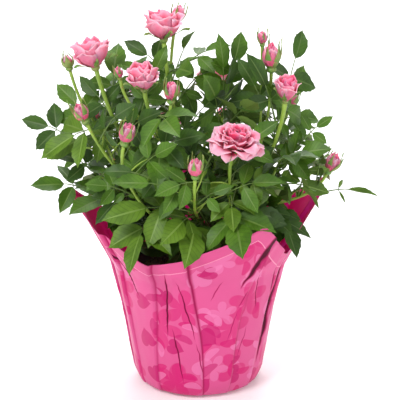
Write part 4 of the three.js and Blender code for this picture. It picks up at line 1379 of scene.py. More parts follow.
def tone(red, green, blue):
    """A colour given in the usual 0 to 255 numbers, as the linear values that shaders take."""
    parts = [value / 255 for value in (red, green, blue)]
    return (*(p / 12.92 if p <= 0.04045 else ((p + 0.055) / 1.055) ** 2.4 for p in parts), 1)


class Graph:
    """The nodes of a material or a group, with short ways to add to them."""

    def __init__(self, tree):
        self.nodes, self.links = tree.nodes, tree.links

    def feed(self, socket, part):
        """Gives an input another node's output, or a plain value."""
        if isinstance(part, bpy.types.NodeSocket):
            self.links.new(part, socket)
        else:
            socket.default_value = part

    def add(self, kind, inputs=None, **settings):
        """Adds a node with its settings, feeds its inputs and gives its outputs."""
        node = self.nodes.new(f"ShaderNode{kind}")
        for name, value in settings.items():
            setattr(node, name, value)
        for label, part in (inputs or {}).items():
            self.feed(node.inputs[label], part)
        return node.outputs

    def math(self, operation, *parts):
        return self.add("Math", dict(enumerate(parts)), operation=operation)[0]

    def vector(self, operation, *parts, output="Vector"):
        return self.add("VectorMath", dict(enumerate(parts)), operation=operation)[output]

    def held(self, value):
        """A value kept from 0 to 1."""
        return self.math("MINIMUM", self.math("MAXIMUM", value, 0), 1)

    def ramp(self, value, low, high):
        """0 up to low, 1 from high on, and soft between them."""
        inputs = {"Value": value, "From Min": low, "From Max": high}
        return self.add("MapRange", inputs, interpolation_type="SMOOTHSTEP")["Result"]

    def blend(self, below, above, share):
        """Two colours mixed by a share."""
        return self.add("Mix", {"A": below, "B": above, "Factor": share}, data_type="RGBA")["Result"]

    def noise(self, place, scale, detail):
        return self.add("TexNoise", {"Vector": place, "Scale": scale, "Detail": detail})["Fac"]

    def parts(self, place):
        return self.add("SeparateXYZ", {"Vector": place})

    def object_place(self):
        return self.add("TexCoord")["Object"]

    def flat_place(self, uv_map):
        return self.add("UVMap", uv_map=uv_map)["UV"]

    def attribute(self, name):
        return self.add("Attribute", attribute_name=name)["Fac"]


def new_group(name, inputs, outputs):
    """A node group with named inputs and outputs: its graph, what it is given and what it gives."""
    group = bpy.data.node_groups.new(name, "ShaderNodeTree")
    for label, (kind, value) in inputs.items():
        socket = group.interface.new_socket(label, in_out="INPUT", socket_type=f"NodeSocket{kind}")
        socket.default_value = value
    for label, kind in outputs.items():
        group.interface.new_socket(label, in_out="OUTPUT", socket_type=f"NodeSocket{kind}")
    given = group.nodes.new("NodeGroupInput").outputs
    return group, Graph(group), given, group.nodes.new("NodeGroupOutput").inputs


MOTTLE_SOFTNESS = 0.16


def mottle_group():
    """Two colours mixed by soft noise, with a finer height for bumps."""
    group, graph, given, result = new_group(
        "mottle",
        {
            "Scale": ("Float", 40.0),
            "Fine Scale": ("Float", 600.0),
            "Stretch": ("Vector", (1, 1, 1)),
            "First": ("Color", (1, 1, 1, 1)),
            "Second": ("Color", (0, 0, 0, 1)),
            "Edge": ("Float", 0.5),
        },
        {"Color": "Color", "Height": "Float"},
    )
    place = graph.vector("MULTIPLY", graph.object_place(), given["Stretch"])
    low = graph.math("SUBTRACT", given["Edge"], MOTTLE_SOFTNESS)
    high = graph.math("ADD", given["Edge"], MOTTLE_SOFTNESS)
    level = graph.ramp(graph.noise(place, given["Scale"], 3), low, high)
    graph.feed(result["Color"], graph.blend(given["First"], given["Second"], level))
    graph.feed(result["Height"], graph.noise(place, given["Fine Scale"], 4))
    return group


MOTTLE = mottle_group()
RELIEF = 0.0004  # metres that a full bump is high


def plain_material(name, **sockets):
    """A material, its graph and its shader's inputs, with the named ones set."""
    material = bpy.data.materials.new(name)
    material.use_nodes = True
    shader = material.node_tree.nodes["Principled BSDF"].inputs
    for label, value in sockets.items():
        shader[label.replace("_", " ")].default_value = value
    return material, Graph(material.node_tree), shader


EVEN = (1, 1, 1)


def mottled_material(name, first, second, rough, scale, fine, bump, stretch=EVEN, edge=0.5, **sockets):
    """A material of two mottled tones with a fine bump: itself, its graph, inputs and colour."""
    material, graph, shader = plain_material(name, Roughness=rough, **sockets)
    inputs = {"Scale": scale, "Fine Scale": fine, "Stretch": stretch, "Edge": edge}
    mottle = graph.add("Group", inputs | {"First": first, "Second": second}, node_tree=MOTTLE)
    relief = {"Strength": bump, "Distance": RELIEF, "Height": mottle["Height"]}
    graph.feed(shader["Base Color"], mottle["Color"])
    graph.feed(shader["Normal"], graph.add("Bump", relief)["Normal"])
    return material, graph, shader, mottle["Color"]


# roughness, scale of the mottling and of the bump, and the bump's strength
LEAF_SKIN, PETAL_SKIN = (0.46, 55, 900, 0.35), (0.6, 120, 1400, 0.25)
LEAF_SHINE, PETAL_SHINE = 0.3, 0.25
VEINS = 8  # side veins on each half of a leaflet
VEIN_SLANT = 0.9
VEIN_EDGE = 0.55  # how narrow a furrow is
# painted shade in the vein furrows: how strongly it comes in and how dark it is
VEIN_SHADE_STRENGTH = 0.32
VEIN_SHADE_DARKNESS = 0.55
UNDERSIDE = tone(128, 150, 84)


def leaf_material(name, first, second):
    """A leaf's green with painted shade in furrows along its side veins, and a paler underside."""
    look = {"Specular_IOR_Level": LEAF_SHINE}
    material, graph, shader, green = mottled_material(name, first, second, *LEAF_SKIN, **look)
    own = graph.parts(graph.flat_place(OWN_MAP))
    slanted = graph.math("MULTIPLY_ADD", own["X"], -VEIN_SLANT, own["Y"])
    turn = graph.math("MULTIPLY", slanted, FULL_TURN * VEINS)
    # painted shade along the side veins
    furrow_shade = graph.ramp(graph.math("COSINE", turn), VEIN_EDGE, 1)
    dark = (*(VEIN_SHADE_DARKNESS * part for part in first[:3]), 1)
    top = graph.blend(green, dark, graph.math("MULTIPLY", furrow_shade, VEIN_SHADE_STRENGTH))
    under = tuple(mix(a, b, 0.5) for a, b in zip(second, UNDERSIDE))
    behind = graph.add("NewGeometry")["Backfacing"]
    graph.feed(shader["Base Color"], graph.blend(top, under, behind))
    return material


PETAL_GLOW = {"Subsurface_Weight": 0.5, "Subsurface_Radius": (1, 0.35, 0.35), "Subsurface_Scale": 0.003}
FOOT_DEEPER = (0.95, 0.42, 0.55, 1)
FOOT_STRENGTH = 0.65
SIDE_PALER = 0.14  # a petal's sides pale a little sooner than its middle
FOOT_SPAN, RIM_SPAN = (0.25, 0.8), (0.7, 1.12)  # where the foot's tone fades and the rim's begins


def petal_material(name, first, second, rim):
    """A petal's pink, deeper at its foot and paler along its rim."""
    look = PETAL_GLOW | {"Specular_IOR_Level": PETAL_SHINE}
    material, graph, shader, face = mottled_material(name, first, second, *PETAL_SKIN, **look)
    own = graph.parts(graph.flat_place(OWN_MAP))
    reach = graph.math("MULTIPLY_ADD", own["X"], SIDE_PALER, own["Y"])
    deep = tuple(part * share for part, share in zip(first, FOOT_DEEPER))
    foot = graph.math("SUBTRACT", 1, graph.ramp(reach, *FOOT_SPAN))
    face = graph.blend(face, deep, graph.math("MULTIPLY", foot, FOOT_STRENGTH))
    graph.feed(shader["Base Color"], graph.blend(face, rim, graph.ramp(reach, *RIM_SPAN)))
    return material


LEAF_TONES = {
    "dark": (tone(43, 72, 17), tone(60, 94, 23)),
    "mid": (tone(62, 97, 21), tone(82, 120, 30)),
    "light": (tone(72, 104, 20), tone(94, 128, 32)),
}
PETAL_TONES = {
    "heart": (tone(200, 36, 88), tone(216, 74, 122), tone(236, 128, 160)),
    "face": (tone(228, 104, 136), tone(236, 130, 158), tone(244, 166, 187)),
    "outer": (tone(230, 122, 150), tone(237, 146, 172), tone(246, 182, 199)),
}
# two tones, roughness, scale of the mottling and of the bump, its strength, and sometimes the stretch
# of the pattern and the level at which the second tone begins
FINISHES = {
    "midrib_dark": (tone(66, 92, 34), tone(74, 100, 38), 0.5, 60, 900, 0.2),
    "midrib_mid": (tone(88, 118, 42), tone(96, 126, 48), 0.5, 60, 900, 0.2),
    "midrib_light": (tone(104, 134, 48), tone(112, 142, 54), 0.5, 60, 900, 0.2),
    "stalk_green": (tone(98, 124, 50), tone(80, 108, 42), 0.45, 70, 700, 0.3),
    "shoot_green": (tone(152, 180, 70), tone(126, 158, 54), 0.42, 60, 500, 0.3, (1, 1, 0.4)),
    "cane_bark": (tone(96, 108, 54), tone(104, 84, 50), 0.7, 90, 420, 0.8, (1, 1, 0.3), 0.52),
    "prickle_brown": (tone(142, 104, 70), tone(166, 130, 84), 0.5, 200, 900, 0.2),
    "calyx_green": (tone(104, 144, 64), tone(140, 150, 78), 0.5, 130, 900, 0.3),
    "potting_mix": (tone(48, 34, 25), tone(78, 56, 40), 0.95, 160, 1100, 1.0),
    "mix_flecks": (tone(120, 92, 66), tone(70, 50, 36), 0.9, 200, 900, 0.6),
    "moulded_pot": (tone(52, 48, 46), tone(60, 56, 53), 0.5, 30, 1600, 0.25),
}
finishes = {name: mottled_material(name, *look)[0] for name, look in FINISHES.items()}
leaf_materials = {key: leaf_material(f"leaf_{key}", *tones) for key, tones in LEAF_TONES.items()}
petal_materials = [petal_material(f"petal_{key}", *tones) for key, tones in PETAL_TONES.items()]


# ------------------------------------------------------------------ the plant's pieces

MASS_NODES = [f"{name}_leaves" for name in MASSES]
BOUGH_NODES = [f"bough_{name}" for name in BOUGHS]
PETAL_THICKNESS = 0.35
# of the prickles on shoots, canes and boughs: how far apart they stand, and their size
SHOOT_PRICKLES = (15, 1.6)
CANE_PRICKLES = (7, 2.4)
BOUGH_PRICKLES = (9, 1.9)


def stands(piece, slot, *nodes):
    """Hides the nodes that a piece stands for and lets it ride on the body; slot, the finish it would take,
    is not used.
    """
    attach(piece, "root")
    if nodes:
        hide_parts(*nodes)


def thicken(piece, thickness, **settings):
    """Gives a piece its thickness, in millimetres."""
    shell = piece.modifiers.new("thickness", "SOLIDIFY")
    shell.thickness = thickness * MM
    for name, value in settings.items():
        setattr(shell, name, value)


def dress_leaves():
    """The leaves in three tones, and their stalks."""
    heaps = {key: Heap() for key in LEAF_TONES}
    stalks = Heap()
    for leaf in all_leaves:
        key = "light" if leaf["keys"] == WISP else leaf["tone"]
        add_leaf(heaps[key], stalks, leaf)
    for key, heap in heaps.items():
        leaves = heap.piece(f"leaves_{key}", [leaf_materials[key], finishes[f"midrib_{key}"]])
        stands(leaves, "leaves", *MASS_NODES)
    stands(stalks.piece("leaf_stalks", [finishes["stalk_green"]]), "leaves")


def dress_stems():
    """The shoots, the bark of the canes and boughs, and the prickles on them all."""
    shoots, prickles = Heap(), Heap()
    for mass in masses:
        for n, shoot in enumerate(mass["shoots"]):
            keys = (mass["number"], n, 5)
            add_shoot(shoots, shoot, keys)
            if shoot["radii"] != TWIG["radii"]:
                add_prickles(prickles, shoot["arch"], shoot["radii"], *SHOOT_PRICKLES, keys)
    stands(shoots.piece("shoots", [finishes["shoot_green"]]), "leaves")
    canes, boughs = bmesh.new(), bmesh.new()
    for n, (name, (_, _, radii)) in enumerate(CANES.items()):
        bark_limb(canes, limbs[name], radii, CANE_FLARE, 18, (n, 6))
        add_prickles(prickles, limbs[name], radii, *CANE_PRICKLES, (n, 6))
    for n, name in enumerate(BOUGHS):
        bark_limb(boughs, limbs[name], BOUGH_RADII, 0, 12, (n, 7))
        add_prickles(prickles, limbs[name], BOUGH_RADII, *BOUGH_PRICKLES, (n, 7))
    stands(finished(canes, "cane_bark", [finishes["cane_bark"]]), "stems", *CANES)
    stands(finished(boughs, "bough_bark", [finishes["shoot_green"]]), "stems", *BOUGH_NODES)
    stands(prickles.piece("prickles", [finishes["prickle_brown"]]), "stems")


def dress_heads():
    """The petals of all blooms and buds, and their calyxes."""
    petals, calyxes = Heap(), Heap()
    for n, head in enumerate(taken.heads):
        add_bloom(petals, calyxes, head, (n, 8))
    petals = petals.piece("petals", petal_materials)
    calyxes = calyxes.piece("calyxes", [finishes["calyx_green"]])
    for piece in (petals, calyxes):
        thicken(piece, PETAL_THICKNESS, offset=0)
        stands(piece, "leaves")


# ------------------------------------------------------------------ the pot and its mix

POT_OUTSIDE = [(44, 1.5), (50.5, 5), (53, 14), (71.6, 101), (74.2, 102.5), (75.2, 113)]
POT_TOP = 114
POT_WALL = 1.6
LIP = 2.4
LIP_ROUNDING, EDGE_ROUNDING = 0.4, 0.4
SHARP = 0.5  # radians; edges sharper than this are rounded
SOIL_RADIUS = 69.2
SOIL_CELLS = 84
SOIL_SUNK = 2.2
SOIL_EDGE_DIP = 1.5
SOIL_LUMPS = [(2.6, 9, 1), (1.1, 3, 5)]  # height, width and layer of the noise
SKIRT = (0.72, 4.5)  # the skirt's width at its foot, as a share of the top's, and its height
CRUMBS = 520
CRUMB_SIZES = (0.7, 2.4)
CRUMB_MARGIN = 3  # how far crumbs keep from the pot's wall
CRUMB_RAISED = 0.3  # how far a crumb's middle stands above the mix, as a share of its size
CRUMB_WIDTHS, CRUMB_FLATNESS = (0.5, 1), 0.7
CRUMB_DENTS = (0.35, 1.7)  # depth and frequency
FLECK_SHARE = 0.35


def nursery_pot():
    """A moulded pot with a lip, its wall one thickness all round."""
    (_, underside), bevel, base, neck, ledge, rim = POT_OUTSIDE
    mouth = rim[0] - LIP
    inside = [(mouth, POT_TOP), (mouth, ledge[1] + LIP), (neck[0] - POT_WALL, neck[1])]
    inside += [(base[0] - POT_WALL, base[1]), (bevel[0] - POT_WALL, underside + POT_WALL)]
    inside += [(0, underside + POT_WALL)]
    bm = lathed([(0, underside), *POT_OUTSIDE, (rim[0] - LIP_ROUNDING, POT_TOP), *inside], 72)
    bmesh.ops.remove_doubles(bm, verts=bm.verts, dist=0.01)
    bmesh.ops.recalc_face_normals(bm, faces=bm.faces[:])
    sharp = [e for e in bm.edges if len(e.link_faces) == 2 and e.calc_face_angle(0) > SHARP]
    rounding = {"offset": EDGE_ROUNDING, "segments": 2, "profile": 0.5, "affect": "EDGES", "material": -1}
    bmesh.ops.bevel(bm, geom=sharp, **rounding)
    return finished(bm, "pot_shell", [finishes["moulded_pot"]])


def soil_height(x, y):
    """The height of the lumpy mix, which dips towards the pot's wall."""
    out = math.hypot(x, y) / SOIL_RADIUS
    lumps = sum(high * noise.noise(Vector((x / wide, y / wide, layer))) for high, wide, layer in SOIL_LUMPS)
    return SOIL_TOP - SOIL_SUNK + lumps - SOIL_EDGE_DIP * out**6


def potting_mix():
    """The crumbly top of the mix, with a skirt down inside the pot."""
    bm = bmesh.new()
    bmesh.ops.create_grid(bm, x_segments=SOIL_CELLS, y_segments=SOIL_CELLS, size=1)
    for v in bm.verts:
        x, y = v.co.x, v.co.y
        v.co = (x * math.sqrt(1 - y * y / 2) * SOIL_RADIUS, y * math.sqrt(1 - x * x / 2) * SOIL_RADIUS, 0)
        v.co.z = soil_height(v.co.x, v.co.y)
    rim = [e for e in bm.edges if e.is_boundary]
    skirt = bmesh.ops.extrude_edge_only(bm, edges=rim)["geom"]
    narrow, foot = SKIRT
    for v in {item for item in skirt if isinstance(item, bmesh.types.BMVert)}:
        v.co = Vector((v.co.x * narrow, v.co.y * narrow, foot))
    bmesh.ops.holes_fill(bm, edges=[e for e in bm.edges if e.is_boundary])
    bmesh.ops.recalc_face_normals(bm, faces=bm.faces[:])
    return finished(bm, "potting_mix", [finishes["potting_mix"]])


def crumb_template():
    """A dented ball with a radius of about 1."""
    bm = bmesh.new()
    bmesh.ops.create_icosphere(bm, subdivisions=1, radius=1)
    depth, frequency = CRUMB_DENTS
    for v in bm.verts:
        v.co *= 1 + depth * noise.noise(v.co * frequency)
    return as_arrays(bm)


def crumbs():
    """Crumbs and pale flecks strewn over the mix, each squashed and turned by chance."""
    heap = Heap()
    points, faces, _ = crumb_template()
    for n in range(CRUMBS):
        radius = (SOIL_RADIUS - CRUMB_MARGIN) * math.sqrt(chance(n, 101))
        angle = FULL_TURN * chance(n, 102)
        x, y = radius * math.cos(angle), radius * math.sin(angle)
        size = mix(*CRUMB_SIZES, chance(n, 103) ** 2)
        turned = np.array(Matrix.Rotation(9 * chance(n, 104), 3, Vector((1, chance(n, 105), 0.4))))
        lump = points * size * (1, mix(*CRUMB_WIDTHS, chance(n, 106)), CRUMB_FLATNESS) @ turned
        is_fleck = int(chance(n, 107) < FLECK_SHARE)
        heap.add(lump + vec(x, y, soil_height(x, y) + CRUMB_RAISED * size), faces, is_fleck)
    return heap.piece("mix_crumbs", [finishes["potting_mix"], finishes["mix_flecks"]])


# ------------------------------------------------------------------ the film cover

# Creases in the film: azimuth and height of both ends, how deep the film is pressed in there and over
# what half width, and the half width and the strength of the painted shade line along it, where the film
# also lies doubled.
CREASES = [
    ((-152, 150, -134, 100), (1.5, 2.4), (0.8, 1)),
    ((-110, 134, -114, 64), (1.4, 2.6), (0.8, 0.9)),
    ((-110, 76, -102, 16), (1.3, 2.4), (0.6, 0.8)),
    ((-45, 168, -61, 116), (1.6, 3), None),
    ((-43, 184, -61, 114), None, (2.4, 1)),
    ((-19, 136, -30, 24), (1.6, 3.4), (2.8, 0.95)),
    ((-103, 126, -92, 62), (1.2, 2.4), (0.6, 0.8)),
    ((-92, 62, -84, 22), (1, 2.4), (0.5, 0.6)),
    ((-74, 126, -82, 104), None, (0.5, 0.5)),
    ((-62, 92, -68, 60), None, (0.45, 0.5)),
    ((-54, 112, -62, 94), (1, 2.2), (0.6, 0.5)),
    ((-50, 74, -56, 40), None, (0.45, 0.5)),
    ((-46, 126, -44, 88), (1.4, 2.4), (0.6, 0.7)),
    ((-29, 128, -26, 60), (1.4, 2.4), (0.6, 0.7)),
    ((-22, 96, -30, 50), None, (0.45, 0.6)),
    ((22, 150, 6, 74), (1.4, 2.6), (0.7, 0.7)),
    ((48, 132, 62, 48), (1.4, 2.6), (0.6, 0.7)),
    ((92, 158, 74, 82), (1.4, 2.4), (0.7, 0.7)),
    ((110, 100, 114, 40), None, (0.5, 0.6)),
    ((120, 130, 138, 62), (1.3, 2.6), (0.6, 0.7)),
    ((166, 150, 172, 72), (1.4, 2.4), (0.7, 0.7)),
]
CREASE_REACH = 5  # half widths
CREASE_LIP, LIP_AT = 0.3, 2.2  # the film stands up a little on both sides of a crease
CREASE_START = 0.12  # how far into its swell a crease begins
PLEAT_WAVES, PLEAT_PHASE = 6, 2.3
BOW = 1.1  # how far a panel bellies in or out between its pleats
DENTS, FINE_DENTS = (0.9, 26), (0.3, 9)
DENT_SQUASH = 0.6
DENTS_FROM = 12  # the height from which the dents have their full depth
DENTS_AT_FOOT = 0.1  # the share of the broad dents that the foot has
FILM_INSET = 0.6


def crease_depth(azimuth, height, radius):
    """How far the film is pressed in at a place, by the creases near it."""

    def across(start, end):
        return math.radians(turn_to(start, end + 180) - 180) * radius

    total = 0.0
    for (a0, h0, a1, h1), press, _ in CREASES:
        if not press:
            continue
        depth, half = press
        x1, y1 = across(a0, a1), h1 - h0
        x, y = across(a0, azimuth), height - h0
        t = min(1, max(0, (x * x1 + y * y1) / (x1 * x1 + y1 * y1)))
        apart = math.hypot(x - t * x1, y - t * y1) / half
        if apart < CREASE_REACH:
            total += depth * math.exp(-(apart**2)) * math.sin(math.pi * mix(CREASE_START, 1, t))
            total -= CREASE_LIP * depth * math.exp(-((apart - LIP_AT) ** 2))
    return total


def pleat_at(n, climb):
    """The azimuth of a pleat, which sways a little on its way up."""
    n %= len(PLEATS)
    wave = math.sin(PLEAT_WAVES * climb + PLEAT_PHASE * n)
    sway = PLEAT_SWAY * wave * math.sin(math.pi * climb)
    return mix(*PLEATS[n][0], climb) + sway


def film_unrest(panel, across, azimuth, height, plain):
    """How far the film bellies and dents away from its plain radius."""
    rise = height / KINK_HEIGHT
    bow = BOW * math.sin(math.pi * across) * min(1, rise) * (0.5 - chance(panel, 111))
    turn = math.radians(azimuth)
    spot = Vector((math.cos(turn) * plain, math.sin(turn) * plain, height * DENT_SQUASH))
    broad, fine = (deep * noise.noise(spot / wide) for deep, wide in (DENTS, FINE_DENTS))
    return bow + (broad * min(1, rise + DENTS_AT_FOOT) + fine) * min(1, height / DENTS_FROM)


def cover_point(panel, across, climb):
    """Azimuth, height and radius of the sheet, and the distance to its rim along the film."""

    def azimuth_at(share):
        start = pleat_at(panel, share) + PLEAT_GAP
        return start + across * turn_to(start, pleat_at(panel + 1, share))

    rim, lean = rim_at(azimuth_at(1))
    if climb < FLARE_START:
        height = climb / FLARE_START * KINK_HEIGHT
    else:
        height = mix(KINK_HEIGHT, rim, (climb - FLARE_START) / (1 - FLARE_START))
    azimuth = azimuth_at(climb)
    plain = cover_radius(azimuth, height)
    radius = plain + pleat_step(height, rim) * (across - 0.5)
    radius += film_unrest(panel, across, azimuth, height, plain)
    radius -= crease_depth(azimuth, height, plain) + FILM_INSET
    slope = (rim_at(azimuth + 1)[0] - rim_at(azimuth - 1)[0]) / (math.radians(2) * plain)
    to_rim = (rim - height) * math.hypot(1, lean) / math.hypot(1, slope)
    return azimuth, height, radius, to_rim


def panel_middle(panel, climb):
    """The azimuth half way between two pleats."""
    start = pleat_at(panel, climb)
    return start + turn_to(start, pleat_at(panel + 1, climb)) / 2


def sheet_place(panel, azimuth, height, radius, climb):
    """Where a point lies on the flat sheet, in millimetres; the pleats hide a little of it."""
    turn = turn_to(panel_middle(panel, climb), azimuth + 180) - 180
    middle = turn_to(PLEATS[0][0][0], panel_middle(panel, 0))
    across = math.radians(turn) * radius + math.radians(middle) * KINK_RADIUS + panel * TUCKED
    flare = max(0, height - KINK_HEIGHT) * math.hypot(1, rim_at(azimuth)[1])
    return across, min(height, KINK_HEIGHT) * WALL_SLANT + flare


def film_cover(materials):
    """The gathered sheet with its floor, its flat map, its shadows and its distance to the rim."""
    bm = bmesh.new()
    columns = PANEL_COLUMNS * len(PLEATS)
    bmesh.ops.create_grid(bm, x_segments=columns, y_segments=COVER_ROWS, size=1)
    rim_distance = bm.verts.layers.float.new("rim_distance")
    shade = bm.verts.layers.float.new("shade")
    flat = bm.loops.layers.uv.new("sheet")
    places = {}
    for v in bm.verts:
        column = round((v.co.x + 1) / 2 * columns) % columns
        panel, step = divmod(column, PANEL_COLUMNS)
        climb = (v.co.y + 1) / 2
        places[v] = (*cover_point(panel, step / (PANEL_COLUMNS - 1), climb), climb)
        if step < len(SHADE_FADE):
            v[shade] = mix(*PLEATS[panel][1], climb) * SHADE_FADE[step]
    for face in bm.faces:
        panel = int((face.calc_center_median().x + 1) / 2 * columns) // PANEL_COLUMNS
        for loop in face.loops:
            azimuth, height, radius, _, climb = places[loop.vert]
            loop[flat].uv = sheet_place(panel, azimuth, height, radius, climb)
    for v, (azimuth, height, radius, to_rim, _) in places.items():
        turn = math.radians(azimuth)
        v.co = (radius * math.cos(turn), radius * math.sin(turn), height)
        v[rim_distance] = to_rim
    bmesh.ops.remove_doubles(bm, verts=bm.verts, dist=0.005)
    foot = [e for e in bm.edges if e.is_boundary and max(v.co.z for v in e.verts) < 1]
    for face in bmesh.ops.edgeloop_fill(bm, edges=foot)["faces"]:
        face.normal_update()
        if face.normal.z > 0:
            face.normal_flip()
    return finished(bm, "film_cover", materials)


# ------------------------------------------------------------------ the film's print and the painted shade of its creases

FILM_PINK = tone(210, 82, 138)
FILM_ROSE = tone(200, 8, 104)
FILM_PALE = tone(222, 120, 170)
FILM_DEEP = tone(186, 0, 98)
FILM_HEM = tone(208, 78, 134)
HEM_LINE = tone(226, 134, 168)
# painted shade for the pleats and creases, a rose tone and a dark one; the film also lies doubled there
FOLD_SHADE_ROSE = tone(170, 4, 84)
FOLD_SHADE_DARK = tone(74, 0, 32)
FILM_SHINE = 0.22
FILM_ROUGHNESS = 0.4
FOLD_DULL = 0.45  # how much rougher the film is in its folds
SHADE_ROSE_SPAN, SHADE_DARK_SPAN = (0, 0.6), (0.35, 1)  # over what strength of a fold's painted shade each of its tones comes in
HEM_WIDTH = 13
HEM_LINE_HALF = 0.5
CELL_UNREST = 0.35
MOTIF_EDGE = 0.09
SMALLEST, GROWTH = 0.85, 0.3  # a motif's size, and how much larger chance may make it
SWAY_SCALE, LINE_SWAY = 42, 9  # how the painted shade line of a crease wavers
LINE_GAIN, LINE_FALL = 1.5, 0.75
# motif, offset of its cells, their spacing, the motif's size, its colour, its strength and share
PRINT = [
    ("flower", 11, 84, 25, FILM_ROSE, 0.6, 0.95),
    ("heart", 23, 50, 12, FILM_PALE, 0.6, 0.6),
    ("flower", 57, 74, 21, FILM_ROSE, 0.65, 0.9),
    ("flower", 37, 60, 14, FILM_PALE, 0.45, 0.55),
    ("oval", 5, 29, 9, FILM_ROSE, 0.8, 0.65),
    ("heart", 71, 42, 9.5, FILM_DEEP, 0.8, 0.7),
    ("oval", 19, 33, 9, FILM_PALE, 0.6, 0.6),
    ("oval", 47, 38, 10, FILM_DEEP, 0.65, 0.5),
]


def scatter_group():
    """Cells strewn over a flat map, each with its own turned coordinates and chance."""
    group, graph, given, result = new_group(
        "scatter",
        {
            "Vector": ("Vector", (0, 0, 0)),
            "Spacing": ("Float", 50.0),
            "Size": ("Float", 15.0),
            "Offset": ("Float", 0.0),
        },
        {"X": "Float", "Y": "Float", "Chance": "Float"},
    )
    offset = graph.add("CombineXYZ", {"X": given["Offset"], "Y": given["Offset"]})[0]
    scaled = graph.vector("DIVIDE", graph.vector("ADD", given["Vector"], offset), given["Spacing"])
    cell = {"Vector": scaled, "Scale": 1, "Randomness": CELL_UNREST}
    cells = graph.add("TexVoronoi", cell, voronoi_dimensions="2D")
    draws = graph.add("SeparateColor", {"Color": cells["Color"]})
    local = graph.vector("SUBTRACT", scaled, cells["Position"])
    turn = {"Vector": local, "Angle": graph.math("MULTIPLY", draws["Red"], FULL_TURN)}
    parts = graph.parts(graph.add("VectorRotate", turn, rotation_type="Z_AXIS")["Vector"])
    grow = graph.math("MULTIPLY_ADD", draws["Green"], GROWTH, SMALLEST)
    share = graph.math("DIVIDE", given["Spacing"], graph.math("MULTIPLY", given["Size"], grow))
    for axis in "XY":
        graph.feed(result[axis], graph.math("MULTIPLY", parts[axis], share))
    graph.feed(result["Chance"], draws["Blue"])
    return group


def squared_reach(graph, x, y):
    return graph.math("ADD", graph.math("MULTIPLY", x, x), graph.math("MULTIPLY", y, y))


def heart_level(graph, x, y):
    """Below 0 inside a heart: a disc whose sides are lifted."""
    root = graph.math("SQRT", graph.math("ABSOLUTE", x))
    lifted = graph.math("MULTIPLY_ADD", root, -0.72, graph.math("MULTIPLY", y, 1.15))
    return graph.math("SUBTRACT", squared_reach(graph, x, lifted), 1)


def flower_level(graph, x, y):
    """Below 0 inside a flower with five round petals."""
    angle = graph.math("MULTIPLY", graph.math("ARCTAN2", y, x), 2.5)
    petals = graph.math("POWER", graph.math("ABSOLUTE", graph.math("COSINE", angle)), 0.7)
    edge = graph.math("MULTIPLY_ADD", petals, 0.82, 0.18)
    return graph.math("SUBTRACT", graph.math("SQRT", squared_reach(graph, x, y)), edge)


def oval_level(graph, x, y):
    """Below 0 inside a narrow oval that is bent like a leaf."""
    bent = graph.math("MULTIPLY_ADD", graph.math("MULTIPLY", y, y), 0.25, x)
    return graph.math("SUBTRACT", squared_reach(graph, graph.math("MULTIPLY", bent, 2.3), y), 1)


def motif_group(name, level):
    """A mask that is 1 inside a motif, whose level is below 0 there."""
    zero = ("Float", 0.0)
    group, graph, given, result = new_group(name, {"X": zero, "Y": zero}, {"Mask": "Float"})
    over = graph.ramp(level(graph, given["X"], given["Y"]), 0, MOTIF_EDGE)
    graph.feed(result["Mask"], graph.math("SUBTRACT", 1, over))
    return group


def crease_group():
    """A mask that is 1 on a line between two places, and thins out towards its ends."""
    group, graph, given, result = new_group(
        "crease",
        {
            "Place": ("Vector", (0, 0, 0)),
            "Start": ("Vector", (0, 0, 0)),
            "Run": ("Vector", (0, 1, 0)),
            "Half Width": ("Float", 0.6),
        },
        {"Mask": "Float"},
    )
    run = given["Run"]
    reach = graph.vector("SUBTRACT", given["Place"], given["Start"])
    along = graph.vector("DOT_PRODUCT", reach, run, output="Value")
    share = graph.held(graph.math("DIVIDE", along, graph.vector("DOT_PRODUCT", run, run, output="Value")))
    apart = graph.vector("SUBTRACT", reach, graph.vector("MULTIPLY", run, share))
    off = graph.math("DIVIDE", graph.vector("LENGTH", apart, output="Value"), given["Half Width"])
    swell = graph.math("SQRT", graph.math("SINE", graph.math("MULTIPLY", share, math.pi)))
    level = graph.math("MULTIPLY_ADD", off, -LINE_FALL, graph.math("MULTIPLY", swell, LINE_GAIN))
    graph.feed(result["Mask"], graph.held(level))
    return group


def crease_shade_mask(graph):
    """The painted shade lines of the creases, laid out by azimuth and height on the cover."""
    place = graph.object_place()
    parts = graph.parts(place)
    unrest = graph.math("SUBTRACT", graph.noise(place, SWAY_SCALE, 2), 0.5)
    turn = graph.math("ARCTAN2", parts["Y"], parts["X"])
    across = graph.math("MULTIPLY_ADD", turn, KINK_RADIUS, graph.math("MULTIPLY", unrest, LINE_SWAY))
    spot = graph.add("CombineXYZ", {"X": across, "Y": graph.math("DIVIDE", parts["Z"], MM)})[0]
    crease = crease_group()
    total = 0
    for (a0, h0, a1, h1), _, line in CREASES:
        if not line:
            continue
        half, strength = line
        start, end = (Vector((math.radians(a) * KINK_RADIUS, h, 0)) for a, h in ((a0, h0), (a1, h1)))
        inputs = {"Place": spot, "Start": start, "Run": end - start, "Half Width": half}
        mask = graph.add("Group", inputs, node_tree=crease)["Mask"]
        total = graph.math("MAXIMUM", total, graph.math("MULTIPLY", mask, strength))
    return total


def printed(graph, colour):
    """The print of flowers, hearts and ovals, laid over a colour on the flat sheet."""
    sheet = graph.flat_place("sheet")
    scatter = scatter_group()
    levels = {"flower": flower_level, "heart": heart_level, "oval": oval_level}
    motifs = {name: motif_group(f"{name}_motif", level) for name, level in levels.items()}
    for motif, offset, spacing, size, ink, strength, share in PRINT:
        inputs = {"Offset": offset, "Spacing": spacing, "Size": size, "Vector": sheet}
        cells = graph.add("Group", inputs, node_tree=scatter)
        mask = graph.add("Group", {"X": cells["X"], "Y": cells["Y"]}, node_tree=motifs[motif])["Mask"]
        chosen = graph.math("MULTIPLY", mask, graph.math("LESS_THAN", cells["Chance"], share))
        colour = graph.blend(colour, ink, graph.math("MULTIPLY", chosen, strength))
    return colour


